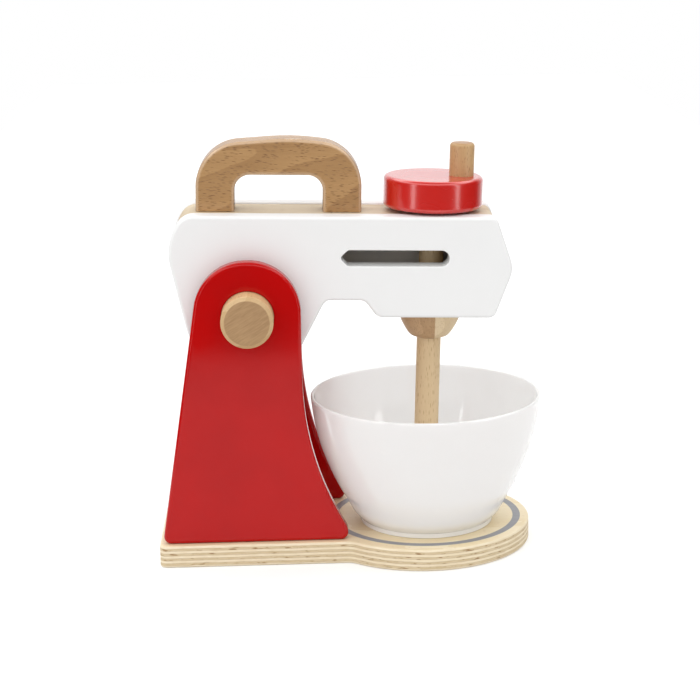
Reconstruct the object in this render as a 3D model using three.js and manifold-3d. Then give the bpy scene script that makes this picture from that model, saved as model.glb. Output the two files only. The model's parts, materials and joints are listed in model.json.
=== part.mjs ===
// Wooden toy stand mixer: a plywood base, two painted uprights, a tilting head of painted boards
// on a wooden core, a hand-turned crank with its mixing shaft, and a bowl that stands on the base.
// Millimetres, +X towards the nose, +Y away from the front face, +Z up.
// The origin is on the underside of the base, below the centre of the bowl's printed ring.
import * as THREE from "three";
import { mergeVertices, toCreasedNormals } from "three/addons/utils/BufferGeometryUtils.js";
import Module from "manifold-3d";

const wasm = await Module();
wasm.setup();

const degrees = Math.PI / 180;

// Fits and facets
const seatGap = 0.3; // between glued faces, and between a stop and what rests on it
const runGap = 0.3; // around a dowel or shaft that turns
const overrun = 6; // how far a cutter passes the face that it opens
const chordAngle = 12 * degrees; // turn of an outline for each chord of a rounded corner
const chordLength = 14; // longest chord of a wide rounding
const edgeAngle = 30 * degrees; // the same for the small rounded edges of turned pieces
const creaseAngle = 25 * degrees; // faces that meet flatter than this are shaded as one surface
const sharedPoint = 0.25; // points of an outline nearer than this are one
const roundSides = 48;
const boreSides = 32;
const screwSides = 16;
const bowlSideSteps = 10;

// Pivot of the head
const pivotSetback = 116.8; // from the bowl ring's centre back to the pivot
const pivotHeight = 153.5; // above the top of the base
const pivotRadius = 17;
const pivotProud = 17.5; // how far the dowel stands out of each upright
const pivotChamfer = 2.4;
const washerThick = 1.9;
const washerBand = 8;

// Head, measured from the pivot
const headDroopAngle = 1.6 * degrees; // the head rests a little nose down
const boardThick = 15;
const coreThick = 40;
const coreRecess = 1; // core below the edges of the boards
const boardRound = 2;
const boardCornerRound = 5.6;
const headTop = 63.5;
const headBelly = 3.3; // underside of the nose, below the pivot
const headNose = 173.6;
const headBack = 53.9;
const tailRadius = 42; // round underside of the tail, about the pivot
const headStep = 11.5; // height of the raised stretch of the underside behind the nose

// Slot and hollow of the head
const slotStart = 59.7;
const slotLength = 71.5;
const slotHeight = 10.6;
const slotFloor = 31;
const slotTipRound = 2.2; // the tail end of the slot runs to a soft point
const hollowLead = 5; // the hollow behind the slot starts this far before it
const hollowRoofWall = 18;
const hollowFloorWall = 8.8;
const noseWall = 33;

// Rest block between the uprights
const restLength = 40;
const restHeight = 22;

// Uprights
const uprightThick = 12;
const uprightRound = 2.6;
const uprightTopRound = 34;
const uprightTopRise = 35.9; // top of the upright above the pivot
const waistNose = 34.6; // nose side of the upright at the pivot
const shoulderTail = 30; // tail side of the upright's flat top line
const footNose = 62.6;
const footTail = 60.9;
const footLip = 7.4; // short upright edge of the foot under the flare
const footCornerRound = 5;
const footLipRound = 9;
const flareRise = 57;
const flareRound = 200;

// Base
const baseThick = 15;
const baseMargin = 4; // base beyond the faces of the uprights
const baseTailMargin = 2; // base beyond the tail of the feet
const baseCornerRound = 5;
const baseEdgeRound = 1.5;
const lobeRadius = 73.2;
const lobeSetback = 2; // centre of the round lobe behind the origin
const neckRound = 10;

// Screws that hold the uprights
const screwLength = 34;
const screwRadius = 2;
const screwHeadRadius = 4;
const screwHeadDepth = 2.6;
const screwTip = 4;
const recessWidth = 1.1;
const recessDepth = 1.8;

// Carrying handle, measured from the pivot
const handleStart = -34.7;
const handleLength = 109;
const handleTop = 111.3; // where the two slopes of its top would meet
const handleCrown = 5.1; // how far the slopes fall towards the ends
const handleCrownRound = 160;
const handleCrownLead = 8.2; // crest nearer the nose than the middle of the arch
const handleBar = 24.5; // arch below the meeting of the slopes
const handleLeg = 25.4;
const handleThick = 24;
const handleOuterRound = 30;
const handleInnerRound = 10.3;
const handleEdgeRound = 2.6;
const handleDowelRadius = 4;
const handleDowelDepth = 13; // into the leg and into the core alike

// Crank, measured from the pivot
const crankReach = 121.4;
const crankLeanAngle = 0.48 * degrees; // its bore leans a little further than the head
const shaftRadius = 8.1;
const shaftDrop = 128;
const shaftEndRound = 1.6;
const knobRadius = 33;
const knobThick = 21;
const knobRound = 3;
const knobGap = 1.5; // knob above the boards
const knobSeatDepth = 11; // depth of the knob's bores for the shaft and the peg
const knobWasherBand = 6; // width of the ring that carries the knob
const pegRadius = 8.2;
const pegOffset = 18.6;
const pegProud = 21.9;
const pegRound = 2.4;
const collarRadius = 21.5;
const collarHeight = 19.7;
const collarGap = 0.6;

// Bowl
const bowlForward = 6.3; // the bowl stands this far in front of the ring's centre
const bowlSideways = 0.6;
const bowlHeight = 88.9;
const bowlRim = 77.7;
const bowlWall = 2.4;
const bowlFootRadius = 44;
const bowlFootHeight = 3.6;
const bowlFootBand = 4;
const bowlFootRecess = 2.6;

// Corners of the head's outline: along, as shares of the reach of the nose, the back or the tail,
// up, as shares of the head's top, and roundings, as shares of the boards' corner rounding
const headAlongShares = {
  tailBack: 0.786,
  tailFront: 0.61,
  stepStart: 0.2915,
  stepEnd: 0.44,
  bellyStart: 0.488,
  bellyEnd: 0.9315,
  topEnd: 0.931,
  topStart: 0.785,
};
const headUpShares = { nose: 0.463, back: 0.7 };
const headRoundShares = {
  tailFront: 1.8,
  stepStart: 1.1,
  stepEnd: 1.35,
  bellyStart: 1.5,
  bellyEnd: 1,
  nose: 3.2,
  topEnd: 1,
  topStart: 2.3,
  back: 6.4,
};

// Roundings and the run of the slot's pointed end, as shares of the slot's height
const slotShares = { endRound: 0.49, pointRun: 0.5, pointRound: 0.28 };

// The side of the bowl, as shares of its rim radius and of its height above the foot
const bowlSideShares = [
  [0.592, 0.0],
  [0.646, 0.06],
  [0.703, 0.155],
  [0.787, 0.297],
  [0.865, 0.462],
  [0.935, 0.65],
  [0.978, 0.838],
  [1.0, 1.0],
];

// The side of the collar, as shares of its radius and of its height, from its lower face up
const collarSideShares = [
  [0.46, 0.0],
  [0.49, 0.012],
  [0.615, 0.09],
  [0.755, 0.315],
  [0.903, 0.574],
  [0.976, 0.8],
  [1.0, 1.0],
];

// Places that follow from the sizes
const pivotX = -pivotSetback;
const pivotZ = baseThick + pivotHeight;
const headHalf = boardThick + coreThick / 2;
const uprightInner = headHalf + washerThick + 2 * seatGap;
const uprightOuter = uprightInner + uprightThick;
const uprightMiddle = uprightInner + uprightThick / 2;
const baseHalf = uprightOuter + baseMargin;
const baseTail = pivotSetback + footTail + baseTailMargin;
const stepRise = headStep - headBelly;
const coreHalf = coreThick / 2 - seatGap;
const coreTop = headTop - coreRecess;
const slotEnd = slotStart + slotLength;
const hollowStart = slotStart - hollowLead;
const hollowEnd = headNose - noseWall;
const hollowRoof = coreTop - hollowRoofWall;
const hollowFloor = stepRise + coreRecess + hollowFloorWall;
const handleEnd = handleStart + handleLength;
const handleSeat = coreTop + seatGap;
const knobBase = headTop + knobGap;
const knobTop = knobBase + knobThick;
const collarTop = -headBelly - collarGap;

// Points of an arc, both ends included
function arc(centreX, centreY, radius, from, to, step = chordAngle) {
  const turn = Math.abs(to - from);
  const chords = Math.max(1, Math.ceil(turn / step), Math.ceil((turn * radius) / chordLength));
  const points = [];
  for (let i = 0; i <= chords; i += 1) {
    const angle = from + ((to - from) * i) / chords;
    points.push(new THREE.Vector2(centreX + radius * Math.cos(angle), centreY + radius * Math.sin(angle)));
  }
  return points;
}

// A closed outline from corners [x, y, radius], anticlockwise, each rounded by an arc that
// touches both of its sides and is limited by their lengths. Where two arcs meet, a point that
// they share is kept once.
function roundedOutline(corners) {
  const count = corners.length;
  const spots = corners.map(([x, y]) => new THREE.Vector2(x, y));
  const back = spots.map((spot, i) => spots[(i + count - 1) % count].clone().sub(spot).normalize());
  const ahead = spots.map((spot, i) => spots[(i + 1) % count].clone().sub(spot).normalize());
  const half = spots.map((_, i) => Math.acos(back[i].dot(ahead[i])) / 2);
  const runs = corners.map(([, , radius], i) => radius / Math.tan(half[i]));
  for (let i = 0; i < count; i += 1) {
    const next = (i + 1) % count;
    const fit = Math.min(1, spots[i].distanceTo(spots[next]) / (runs[i] + runs[next]));
    runs[i] *= fit;
    runs[next] *= fit;
  }
  const points = spots.flatMap((spot, i) => {
    const radius = runs[i] * Math.tan(half[i]);
    if (radius === 0) return [spot];
    const middle = back[i].clone().add(ahead[i]).normalize();
    const centre = spot.clone().addScaledVector(middle, radius / Math.sin(half[i]));
    const start = spot.clone().addScaledVector(back[i], runs[i]).sub(centre).angle();
    const turn = (2 * half[i] - Math.PI) * Math.sign(back[i].cross(ahead[i]));
    return arc(centre.x, centre.y, radius, start, start + turn);
  });
  return points.filter((point, i) => point.distanceTo(points[(i + 1) % points.length]) > sharedPoint);
}

// An outline or an open line moved to its left by a distance, square to its sides
function movedLeft(points, distance, closed) {
  const last = points.length - 1;
  return points.map((point, i) => {
    const before = points[closed ? (i + last) % points.length : Math.max(i - 1, 0)];
    const after = points[closed ? (i + 1) % points.length : Math.min(i + 1, last)];
    const along = after.clone().sub(before).normalize();
    return new THREE.Vector2(point.x - along.y * distance, point.y + along.x * distance);
  });
}

// A plate of an outline with rounded edges, its thickness along +Z from zero
function plate(outline, thickness, edgeRound, holes = []) {
  const shape = new THREE.Shape(outline);
  shape.holes = holes.map((hole) => new THREE.Path(hole));
  const geometry = new THREE.ExtrudeGeometry(shape, {
    depth: thickness - 2 * edgeRound,
    bevelEnabled: edgeRound > 0,
    bevelThickness: edgeRound,
    bevelSize: edgeRound,
    bevelOffset: -edgeRound,
    bevelSegments: 2,
    steps: 1,
  });
  geometry.translate(0, 0, edgeRound);
  return geometry;
}

// A plate stood up in the XZ plane, its near face at a place on Y
function standingPlate(outline, near, thickness, edgeRound, holes = []) {
  const geometry = plate(outline, thickness, edgeRound, holes);
  geometry.rotateX(Math.PI / 2);
  geometry.translate(0, near + thickness, 0);
  return geometry;
}

// A piece turned about +Y from points of radius and height that start and end on the axis,
// or close on themselves
function turned(points, sides = roundSides) {
  return new THREE.LatheGeometry(points.map((point) => new THREE.Vector2(...point)), sides);
}

// The same piece turned about +Z
function turnedUp(points, sides = roundSides) {
  return turned(points, sides).rotateX(Math.PI / 2);
}

// A rounded edge of a turned outline, about its centre from one angle to another
function edge(radius, height, round, from, to) {
  return arc(radius, height, round, from, to, edgeAngle).map((point) => [point.x, point.y]);
}

function box(lowX, lowY, lowZ, highX, highY, highZ) {
  const geometry = new THREE.BoxGeometry(highX - lowX, highY - lowY, highZ - lowZ);
  return geometry.translate((highX + lowX) / 2, (highY + lowY) / 2, (highZ + lowZ) / 2);
}

// A round rod between two heights
function rod(x, y, low, high, radius) {
  const geometry = new THREE.CylinderGeometry(radius, radius, high - low, boreSides);
  return geometry.rotateX(Math.PI / 2).translate(x, y, (low + high) / 2);
}

// A round rod along Y through the whole stand, at a place in the XZ plane
function crossRod(x, z, radius) {
  const geometry = new THREE.CylinderGeometry(radius, radius, 2 * (uprightOuter + overrun), boreSides);
  return geometry.translate(x, 0, z);
}

function solidOf(geometry) {
  const bare = geometry.clone();
  bare.deleteAttribute("normal");
  bare.deleteAttribute("uv");
  const merged = mergeVertices(bare);
  return new wasm.Manifold(
    new wasm.Mesh({
      numProp: 3,
      vertProperties: new Float32Array(merged.attributes.position.array),
      triVerts: new Uint32Array(merged.index.array),
    }),
  );
}

function geometryOf(solid) {
  const mesh = solid.getMesh();
  const geometry = new THREE.BufferGeometry();
  geometry.setAttribute("position", new THREE.BufferAttribute(mesh.vertProperties, 3));
  geometry.setIndex(new THREE.BufferAttribute(mesh.triVerts, 1));
  return geometry;
}

function cut(geometry, cutters) {
  return geometryOf(cutters.reduce((solid, cutter) => solid.subtract(solidOf(cutter)), solidOf(geometry)));
}

function common(geometry, other) {
  return geometryOf(solidOf(geometry).intersect(solidOf(other)));
}

// Finishes, by the colours of the real surfaces
const plywood = { color: 0xdcc79c, roughness: 0.55, metalness: 0 };
const beech = { color: 0xb9926a, roughness: 0.6, metalness: 0 };
const paleWood = { color: 0xd6bd94, roughness: 0.6, metalness: 0 };
const redPaint = { color: 0xb01c1c, roughness: 0.4, metalness: 0 };
const redGloss = { color: 0xc81e20, roughness: 0.15, metalness: 0 };
const whitePaint = { color: 0xefefed, roughness: 0.4, metalness: 0 };
const whitePlastic = { color: 0xf4f3f2, roughness: 0.2, metalness: 0 };
const zincSteel = { color: 0xb8b9b6, roughness: 0.35, metalness: 1 };
const nylon = { color: 0xe8e6dc, roughness: 0.5, metalness: 0 };

const mixer = new THREE.Group();
const head = new THREE.Group();
head.position.set(pivotX, 0, pivotZ);
head.rotation.y = headDroopAngle;
mixer.add(head);
const crank = new THREE.Group();
crank.position.set(crankReach, 0, 0);
crank.rotation.y = crankLeanAngle;
head.add(crank);

function addPiece(group, name, geometry, finish) {
  const mesh = new THREE.Mesh(toCreasedNormals(geometry, creaseAngle), new THREE.MeshStandardMaterial(finish));
  mesh.name = name;
  group.add(mesh);
}

// Screws: countersunk, up through the base into the feet, two to each upright
const screwSpots = [
  { name: "base_screw_front_tail", x: pivotX - footTail / 2, y: -uprightMiddle },
  { name: "base_screw_front_nose", x: pivotX + footNose / 2, y: -uprightMiddle },
  { name: "base_screw_rear_tail", x: pivotX - footTail / 2, y: uprightMiddle },
  { name: "base_screw_rear_nose", x: pivotX + footNose / 2, y: uprightMiddle },
];

function screw() {
  const arm = screwHeadRadius - recessWidth;
  const low = seatGap;
  const recessTop = low + recessDepth;
  const body = turnedUp([
    [0, low],
    [screwHeadRadius, low],
    [screwRadius, low + screwHeadDepth],
    [screwRadius, screwLength - screwTip],
    [0, screwLength],
  ], screwSides);
  return cut(body, [
    box(-arm, -recessWidth / 2, -overrun, arm, recessWidth / 2, recessTop),
    box(-recessWidth / 2, -arm, -overrun, recessWidth / 2, arm, recessTop),
  ]);
}

// The hole that takes a screw, with a gap all round
function screwHole({ x, y }) {
  const hole = turnedUp([
    [0, -overrun],
    [screwHeadRadius + seatGap, -overrun],
    [screwHeadRadius + seatGap, seatGap],
    [screwRadius + seatGap, seatGap + screwHeadDepth],
    [screwRadius + seatGap, screwLength + seatGap],
    [0, screwLength + seatGap],
  ], screwSides);
  return hole.translate(x, y, 0);
}

// Base: a rectangle under the uprights that runs into a round lobe through filleted necks
function basePlate() {
  const neckY = baseHalf + neckRound;
  const neckX = -lobeSetback - Math.sqrt((lobeRadius + neckRound) ** 2 - neckY ** 2);
  const lean = Math.atan2(neckY, -lobeSetback - neckX);
  const cornerX = baseCornerRound - baseTail;
  const rear = [
    ...arc(neckX, neckY, neckRound, -lean, -Math.PI / 2),
    ...arc(cornerX, baseHalf - baseCornerRound, baseCornerRound, Math.PI / 2, Math.PI),
  ];
  const front = rear.map((point) => new THREE.Vector2(point.x, -point.y)).reverse();
  const lobe = arc(-lobeSetback, 0, lobeRadius, lean - Math.PI, Math.PI - lean).slice(1, -1);
  return cut(plate([...front, ...lobe, ...rear], baseThick, baseEdgeRound), screwSpots.map(screwHole));
}

// Upright: a round top about the pivot, a straight tail side and a nose side that flares to the foot
function upright(near) {
  const top = pivotZ + uprightTopRise;
  const outline = roundedOutline([
    [pivotX - footTail, baseThick, footCornerRound],
    [pivotX + footNose, baseThick, footCornerRound],
    [pivotX + footNose, baseThick + footLip, footLipRound],
    [pivotX + waistNose, baseThick + flareRise, flareRound],
    [pivotX + waistNose, top, uprightTopRound],
    [pivotX - shoulderTail, top, uprightTopRound],
  ]);
  const bore = crossRod(pivotX, pivotZ, pivotRadius + seatGap);
  return cut(standingPlate(outline, near, uprightThick, uprightRound), [bore, ...screwSpots.map(screwHole)]);
}

// Pivot dowel: glued into both uprights, with chamfered ends that stand out of them
function pivotDowel() {
  const end = uprightOuter + pivotProud;
  const shoulder = end - pivotChamfer;
  const flat = pivotRadius - pivotChamfer;
  return turned([[0, -end], [flat, -end], [pivotRadius, -shoulder], [pivotRadius, shoulder], [flat, end], [0, end]])
    .translate(pivotX, 0, pivotZ);
}

// Washer: keeps a board of the head off the upright beside it
function pivotWasher(side) {
  const inner = pivotRadius + runGap;
  const near = -washerThick / 2;
  const far = washerThick / 2;
  const outer = inner + washerBand;
  return turned([[inner, near], [outer, near], [outer, far], [inner, far], [inner, near]])
    .translate(pivotX, side * (headHalf + seatGap + washerThick / 2), pivotZ);
}

// Rest block: fills the space between the uprights under the tail, whose flat underside rests on it
function restBlock() {
  const dip = tailRadius * Math.cos(headDroopAngle) + (restLength / 2) * Math.sin(headDroopAngle);
  const top = pivotZ - dip - seatGap;
  const half = uprightInner - seatGap;
  return box(pivotX - restLength / 2, -half, top - restHeight, pivotX + restLength / 2, half, top);
}

// The head's outline in the plane of its boards, from the pivot
function headOutline() {
  const along = headAlongShares;
  const up = headUpShares;
  const round = (corner) => headRoundShares[corner] * boardCornerRound;
  return roundedOutline([
    [-along.tailBack * tailRadius, -tailRadius, tailRadius],
    [along.tailFront * tailRadius, -tailRadius, round("tailFront")],
    [along.stepStart * headNose, stepRise, round("stepStart")],
    [along.stepEnd * headNose, stepRise, round("stepEnd")],
    [along.bellyStart * headNose, -headBelly, round("bellyStart")],
    [along.bellyEnd * headNose, -headBelly, round("bellyEnd")],
    [headNose, up.nose * headTop, round("nose")],
    [along.topEnd * headNose, headTop, round("topEnd")],
    [-along.topStart * headBack, headTop, round("topStart")],
    [-headBack, up.back * headTop, round("back")],
  ]);
}

function slotOutline() {
  const { endRound, pointRun, pointRound } = slotShares;
  const roof = slotFloor + slotHeight;
  const shoulder = slotStart + pointRun * slotHeight;
  return roundedOutline([
    [slotStart, slotFloor + slotHeight / 2, slotTipRound],
    [shoulder, slotFloor, pointRound * slotHeight],
    [slotEnd, slotFloor, endRound * slotHeight],
    [slotEnd, roof, endRound * slotHeight],
    [shoulder, roof, pointRound * slotHeight],
  ]);
}

// A side board of the head, bored for the pivot dowel
function headBoard(near, cutters = []) {
  const bore = crossRod(0, 0, pivotRadius + runGap);
  return cut(standingPlate(headOutline(), near, boardThick, boardRound), [bore, ...cutters]);
}

// The slot that the front board alone has, so that the turning shaft shows
function slotCutter() {
  return standingPlate(slotOutline(), -headHalf - overrun, boardThick + 2 * overrun, 0);
}

// The bore of the crank's shaft, in the head's own frame
function shaftBore() {
  const reach = headTop + tailRadius;
  return rod(0, 0, -reach, reach, shaftRadius + runGap).rotateY(crankLeanAngle).translate(crankReach, 0, 0);
}

// Where the dowels of the handle stand, and the blind holes for them
const handleDowelSpots = [
  { name: "handle_dowel_tail", x: handleStart + handleLeg / 2 },
  { name: "handle_dowel_nose", x: handleEnd - handleLeg / 2 },
];

function dowelHole({ x }) {
  const radius = handleDowelRadius + seatGap;
  return rod(x, 0, coreTop - handleDowelDepth, handleSeat + handleDowelDepth, radius);
}

function handleDowel({ x }) {
  const low = coreTop - handleDowelDepth + seatGap;
  const high = handleSeat + handleDowelDepth - seatGap;
  return rod(x, 0, low, high, handleDowelRadius);
}

// A piece of the core between the boards, from one place along the head to another
function corePiece(lowX, lowZ, highX, highZ, cutters) {
  const outline = movedLeft(headOutline(), coreRecess, true);
  const blank = standingPlate(outline, -coreHalf, 2 * coreHalf, 0);
  return cut(common(blank, box(lowX, -coreThick, lowZ, highX, coreThick, highZ)), cutters);
}

// Handle: an arch cut from one board, rounded all along its edges and flat where it is glued down
function carryHandle() {
  const foot = handleSeat - 2 * handleEdgeRound;
  const archTop = handleTop - handleBar;
  const shoulder = handleTop - handleCrown;
  const outline = roundedOutline([
    [handleStart, foot, 0],
    [handleStart + handleLeg, foot, 0],
    [handleStart + handleLeg, archTop, handleInnerRound],
    [handleEnd - handleLeg, archTop, handleInnerRound],
    [handleEnd - handleLeg, foot, 0],
    [handleEnd, foot, 0],
    [handleEnd, shoulder, handleOuterRound],
    [(handleStart + handleEnd) / 2 + handleCrownLead, handleTop, handleCrownRound],
    [handleStart, shoulder, handleOuterRound],
  ]);
  const arch = standingPlate(outline, -handleThick / 2, handleThick, handleEdgeRound);
  const below = box(handleStart - overrun, -handleThick, foot - overrun, handleEnd + overrun, handleThick, handleSeat);
  return cut(arch, [below, ...handleDowelSpots.map(dowelHole)]);
}

// Knob: a turned disc with rounded edges, bored from below for the shaft and from above for the peg
function crankKnob() {
  const side = knobRadius - knobRound;
  const disc = turnedUp([
    [0, knobBase],
    ...edge(side, knobBase + knobRound, knobRound, -Math.PI / 2, 0),
    ...edge(side, knobTop - knobRound, knobRound, 0, Math.PI / 2),
    [0, knobTop],
  ]);
  return cut(disc, [
    rod(0, 0, knobBase - overrun, knobBase + knobSeatDepth, shaftRadius + seatGap),
    rod(pegOffset, 0, knobTop - knobSeatDepth, knobTop + overrun, pegRadius + seatGap),
  ]);
}

// Washer: carries the knob on the core, clear of the boards
function knobWasher() {
  const low = coreTop + seatGap;
  const high = knobBase - seatGap;
  const inner = shaftRadius + seatGap;
  const outer = inner + knobWasherBand;
  return turnedUp([[inner, low], [outer, low], [outer, high], [inner, high], [inner, low]], boreSides);
}

function crankPeg() {
  const low = knobTop - knobSeatDepth + seatGap;
  const high = knobTop + pegProud;
  return turnedUp([
    [0, low],
    [pegRadius, low],
    ...edge(pegRadius - pegRound, high - pegRound, pegRound, 0, Math.PI / 2),
    [0, high],
  ], boreSides).translate(pegOffset, 0, 0);
}

function mixerShaft() {
  const high = knobBase + knobSeatDepth - seatGap;
  const low = -shaftDrop;
  return turnedUp([
    [0, low],
    ...edge(shaftRadius - shaftEndRound, low + shaftEndRound, shaftEndRound, -Math.PI / 2, 0),
    [shaftRadius, high],
    [0, high],
  ], boreSides);
}

// Collar: a domed ring glued on the shaft under the head, which keeps the crank from lifting out
function shaftCollar() {
  const low = collarTop - collarHeight;
  const inner = shaftRadius + seatGap;
  const side = collarSideShares.map(([out, up]) => [out * collarRadius, low + up * collarHeight]);
  return turnedUp([[inner, low], ...side, [inner, collarTop], [inner, low]]);
}

// Bowl: a thin round wall on a foot ring, with a rounded rim
function mixingBowl() {
  const rimRound = bowlWall / 2;
  const sideHeight = bowlHeight - bowlFootHeight - rimRound;
  const shares = bowlSideShares.map(([out, up]) => new THREE.Vector2(out * bowlRim, bowlFootHeight + up * sideHeight));
  const outside = new THREE.SplineCurve(shares).getPoints(bowlSideSteps);
  const inside = movedLeft(outside, bowlWall, false).slice(1, -1).reverse();
  const footInner = bowlFootRadius - bowlFootBand;
  const floor = bowlFootHeight + bowlWall;
  const pairs = (points) => points.map((point) => [point.x, point.y]);
  return turnedUp([
    [0, bowlFootRecess],
    [footInner, bowlFootRecess],
    [footInner, 0],
    [bowlFootRadius, 0],
    [bowlFootRadius, bowlFootHeight],
    ...pairs(outside),
    ...edge(bowlRim - rimRound, bowlHeight - rimRound, rimRound, 0, Math.PI).slice(1),
    ...pairs(inside).filter(([, height]) => height > floor),
    [footInner, floor],
    [0, floor],
  ]).translate(bowlSideways, -bowlForward, baseThick);
}

// Stand
addPiece(mixer, "base_plate", basePlate(), plywood);
addPiece(mixer, "front_upright", upright(-uprightOuter), redPaint);
addPiece(mixer, "rear_upright", upright(uprightInner), redPaint);
for (const spot of screwSpots) {
  addPiece(mixer, spot.name, screw().translate(spot.x, spot.y, 0), zincSteel);
}
addPiece(mixer, "rest_block", restBlock(), redPaint);
addPiece(mixer, "pivot_dowel", pivotDowel(), paleWood);
addPiece(mixer, "pivot_washer_front", pivotWasher(-1), nylon);
addPiece(mixer, "pivot_washer_rear", pivotWasher(1), nylon);

// Head
const seam = seatGap / 2;
const beforeHollow = hollowStart - seam;
const afterHollow = hollowEnd + seam;
const railStart = hollowStart + seam;
const railEnd = hollowEnd - seam;
const beyond = headNose + overrun;
addPiece(head, "head_front_board", headBoard(-headHalf, [slotCutter()]), whitePaint);
addPiece(head, "head_rear_board", headBoard(headHalf - boardThick), whitePaint);
addPiece(head, "core_tail_block", corePiece(-beyond, -beyond, beforeHollow, beyond, [
  crossRod(0, 0, pivotRadius + runGap),
  dowelHole(handleDowelSpots[0]),
]), paleWood);
addPiece(head, "core_top_rail", corePiece(railStart, hollowRoof, railEnd, beyond, [
  shaftBore(),
  dowelHole(handleDowelSpots[1]),
]), paleWood);
addPiece(head, "core_bottom_rail", corePiece(railStart, -beyond, railEnd, hollowFloor, [shaftBore()]), paleWood);
addPiece(head, "core_nose_block", corePiece(afterHollow, -beyond, beyond, beyond, []), paleWood);
addPiece(head, "carry_handle", carryHandle(), beech);
for (const spot of handleDowelSpots) {
  addPiece(head, spot.name, handleDowel(spot), beech);
}

// Crank
addPiece(crank, "crank_knob", crankKnob(), redGloss);
addPiece(crank, "knob_washer", knobWasher(), nylon);
addPiece(crank, "crank_peg", crankPeg(), beech);
addPiece(crank, "mixer_shaft", mixerShaft(), beech);
addPiece(crank, "shaft_collar", shaftCollar(), beech);

// Bowl
addPiece(mixer, "mixing_bowl", mixingBowl(), whitePlastic);

export default mixer;
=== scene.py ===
# %% [markdown]
# # A wooden toy mixer
#
# The real toy is cut from a few boards and dowels: a plywood base, two red uprights, a white head
# that tilts between them on a thick dowel, a crank that turns a mixing shaft, and a loose bowl.
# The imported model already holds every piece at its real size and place. This script keeps those
# places and makes each piece again with the fine rounded edges and finishes that the eye sees.

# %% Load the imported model
import json
import math

import bmesh
import bpy
from mathutils import Matrix, Vector
from mathutils.geometry import tessellate_polygon

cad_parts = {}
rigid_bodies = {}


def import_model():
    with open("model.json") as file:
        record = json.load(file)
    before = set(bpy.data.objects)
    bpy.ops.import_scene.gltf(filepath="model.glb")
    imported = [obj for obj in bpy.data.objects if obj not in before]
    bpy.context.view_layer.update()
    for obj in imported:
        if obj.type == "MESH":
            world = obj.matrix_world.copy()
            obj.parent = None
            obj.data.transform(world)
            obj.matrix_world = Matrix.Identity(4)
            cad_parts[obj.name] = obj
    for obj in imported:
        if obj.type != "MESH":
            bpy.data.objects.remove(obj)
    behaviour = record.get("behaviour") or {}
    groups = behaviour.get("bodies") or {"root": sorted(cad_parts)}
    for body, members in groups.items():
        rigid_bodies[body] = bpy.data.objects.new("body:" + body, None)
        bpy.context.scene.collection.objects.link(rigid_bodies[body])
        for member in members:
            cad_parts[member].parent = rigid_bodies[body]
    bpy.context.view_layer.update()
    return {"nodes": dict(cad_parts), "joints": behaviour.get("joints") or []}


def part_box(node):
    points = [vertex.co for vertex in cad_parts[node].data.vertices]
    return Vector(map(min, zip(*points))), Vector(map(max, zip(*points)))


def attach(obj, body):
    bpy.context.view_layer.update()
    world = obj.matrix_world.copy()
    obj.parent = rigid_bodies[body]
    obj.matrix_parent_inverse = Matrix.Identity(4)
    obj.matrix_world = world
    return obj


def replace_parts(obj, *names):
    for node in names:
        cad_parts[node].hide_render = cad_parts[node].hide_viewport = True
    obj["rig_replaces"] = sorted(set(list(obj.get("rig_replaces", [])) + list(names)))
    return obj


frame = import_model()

# %% [markdown]
# ## Units and the two turned frames
#
# Blender works in metres, and a toy is easier to think about in millimetres, so every size below
# is a number times `mm`. The head rests a little nose down about its pivot, and the crank leans a
# little more. Each has its own frame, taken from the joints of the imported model, so that its
# pieces can be drawn level and then placed by one matrix.

# %% Frames of the stand, the head and the crank
mm = 0.001
head_droop = math.radians(1.6)

joints = {joint["name"]: joint for joint in frame["joints"]}
pivot = Vector(joints["head_tilt"]["pos_m"])
crank_spot = Vector(joints["crank_spin"]["pos_m"])
crank_axis = Vector(joints["crank_spin"]["axis"])
crank_lean = math.atan2(crank_axis.x, crank_axis.z)
stand_place = Matrix.Identity(4)
head_place = Matrix.Translation(pivot) @ Matrix.Rotation(head_droop, 4, "Y")
crank_place = Matrix.Translation(crank_spot) @ Matrix.Rotation(crank_lean, 4, "Y")
print("pivot", [round(x / mm, 2) for x in pivot], "crank lean", round(math.degrees(crank_lean), 2))

# %% [markdown]
# ## Outlines with rounded corners
#
# Every board of this toy is an outline with rounded corners. A list of corners with a radius
# each is the way a maker would mark it out, so one function turns such a list into points. Steps
# of three degrees are fine enough that no facet shows along an edge.

# %% Arcs and rounded outlines
step_turn = math.radians(3)


def arc(centre, radius, start, end, step=step_turn):
    """Points of an arc, both ends included."""
    chords = max(1, math.ceil(abs(end - start) / step))
    turns = [start + (end - start) * i / chords for i in range(chords + 1)]
    x, y = centre
    return [Vector((x + radius * math.cos(a), y + radius * math.sin(a))) for a in turns]


def opening(before, spot, after):
    """A corner's directions to its two neighbours, and half the angle between them."""
    back, ahead = (before - spot).normalized(), (after - spot).normalized()
    return back, ahead, math.acos(max(-1, min(1, back.dot(ahead)))) / 2


def bend(spot, back, ahead, half, run, step):
    """The arc that rounds a corner and meets its sides at a distance from it."""
    radius = run * math.tan(half)
    centre = spot + (back + ahead).normalized() * (radius / math.sin(half))
    first = spot + back * run - centre
    start = math.atan2(first.y, first.x)
    side = 1 if back.x * ahead.y - back.y * ahead.x > 0 else -1
    return arc(centre, radius, start, start + (2 * half - math.pi) * side, step)


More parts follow.
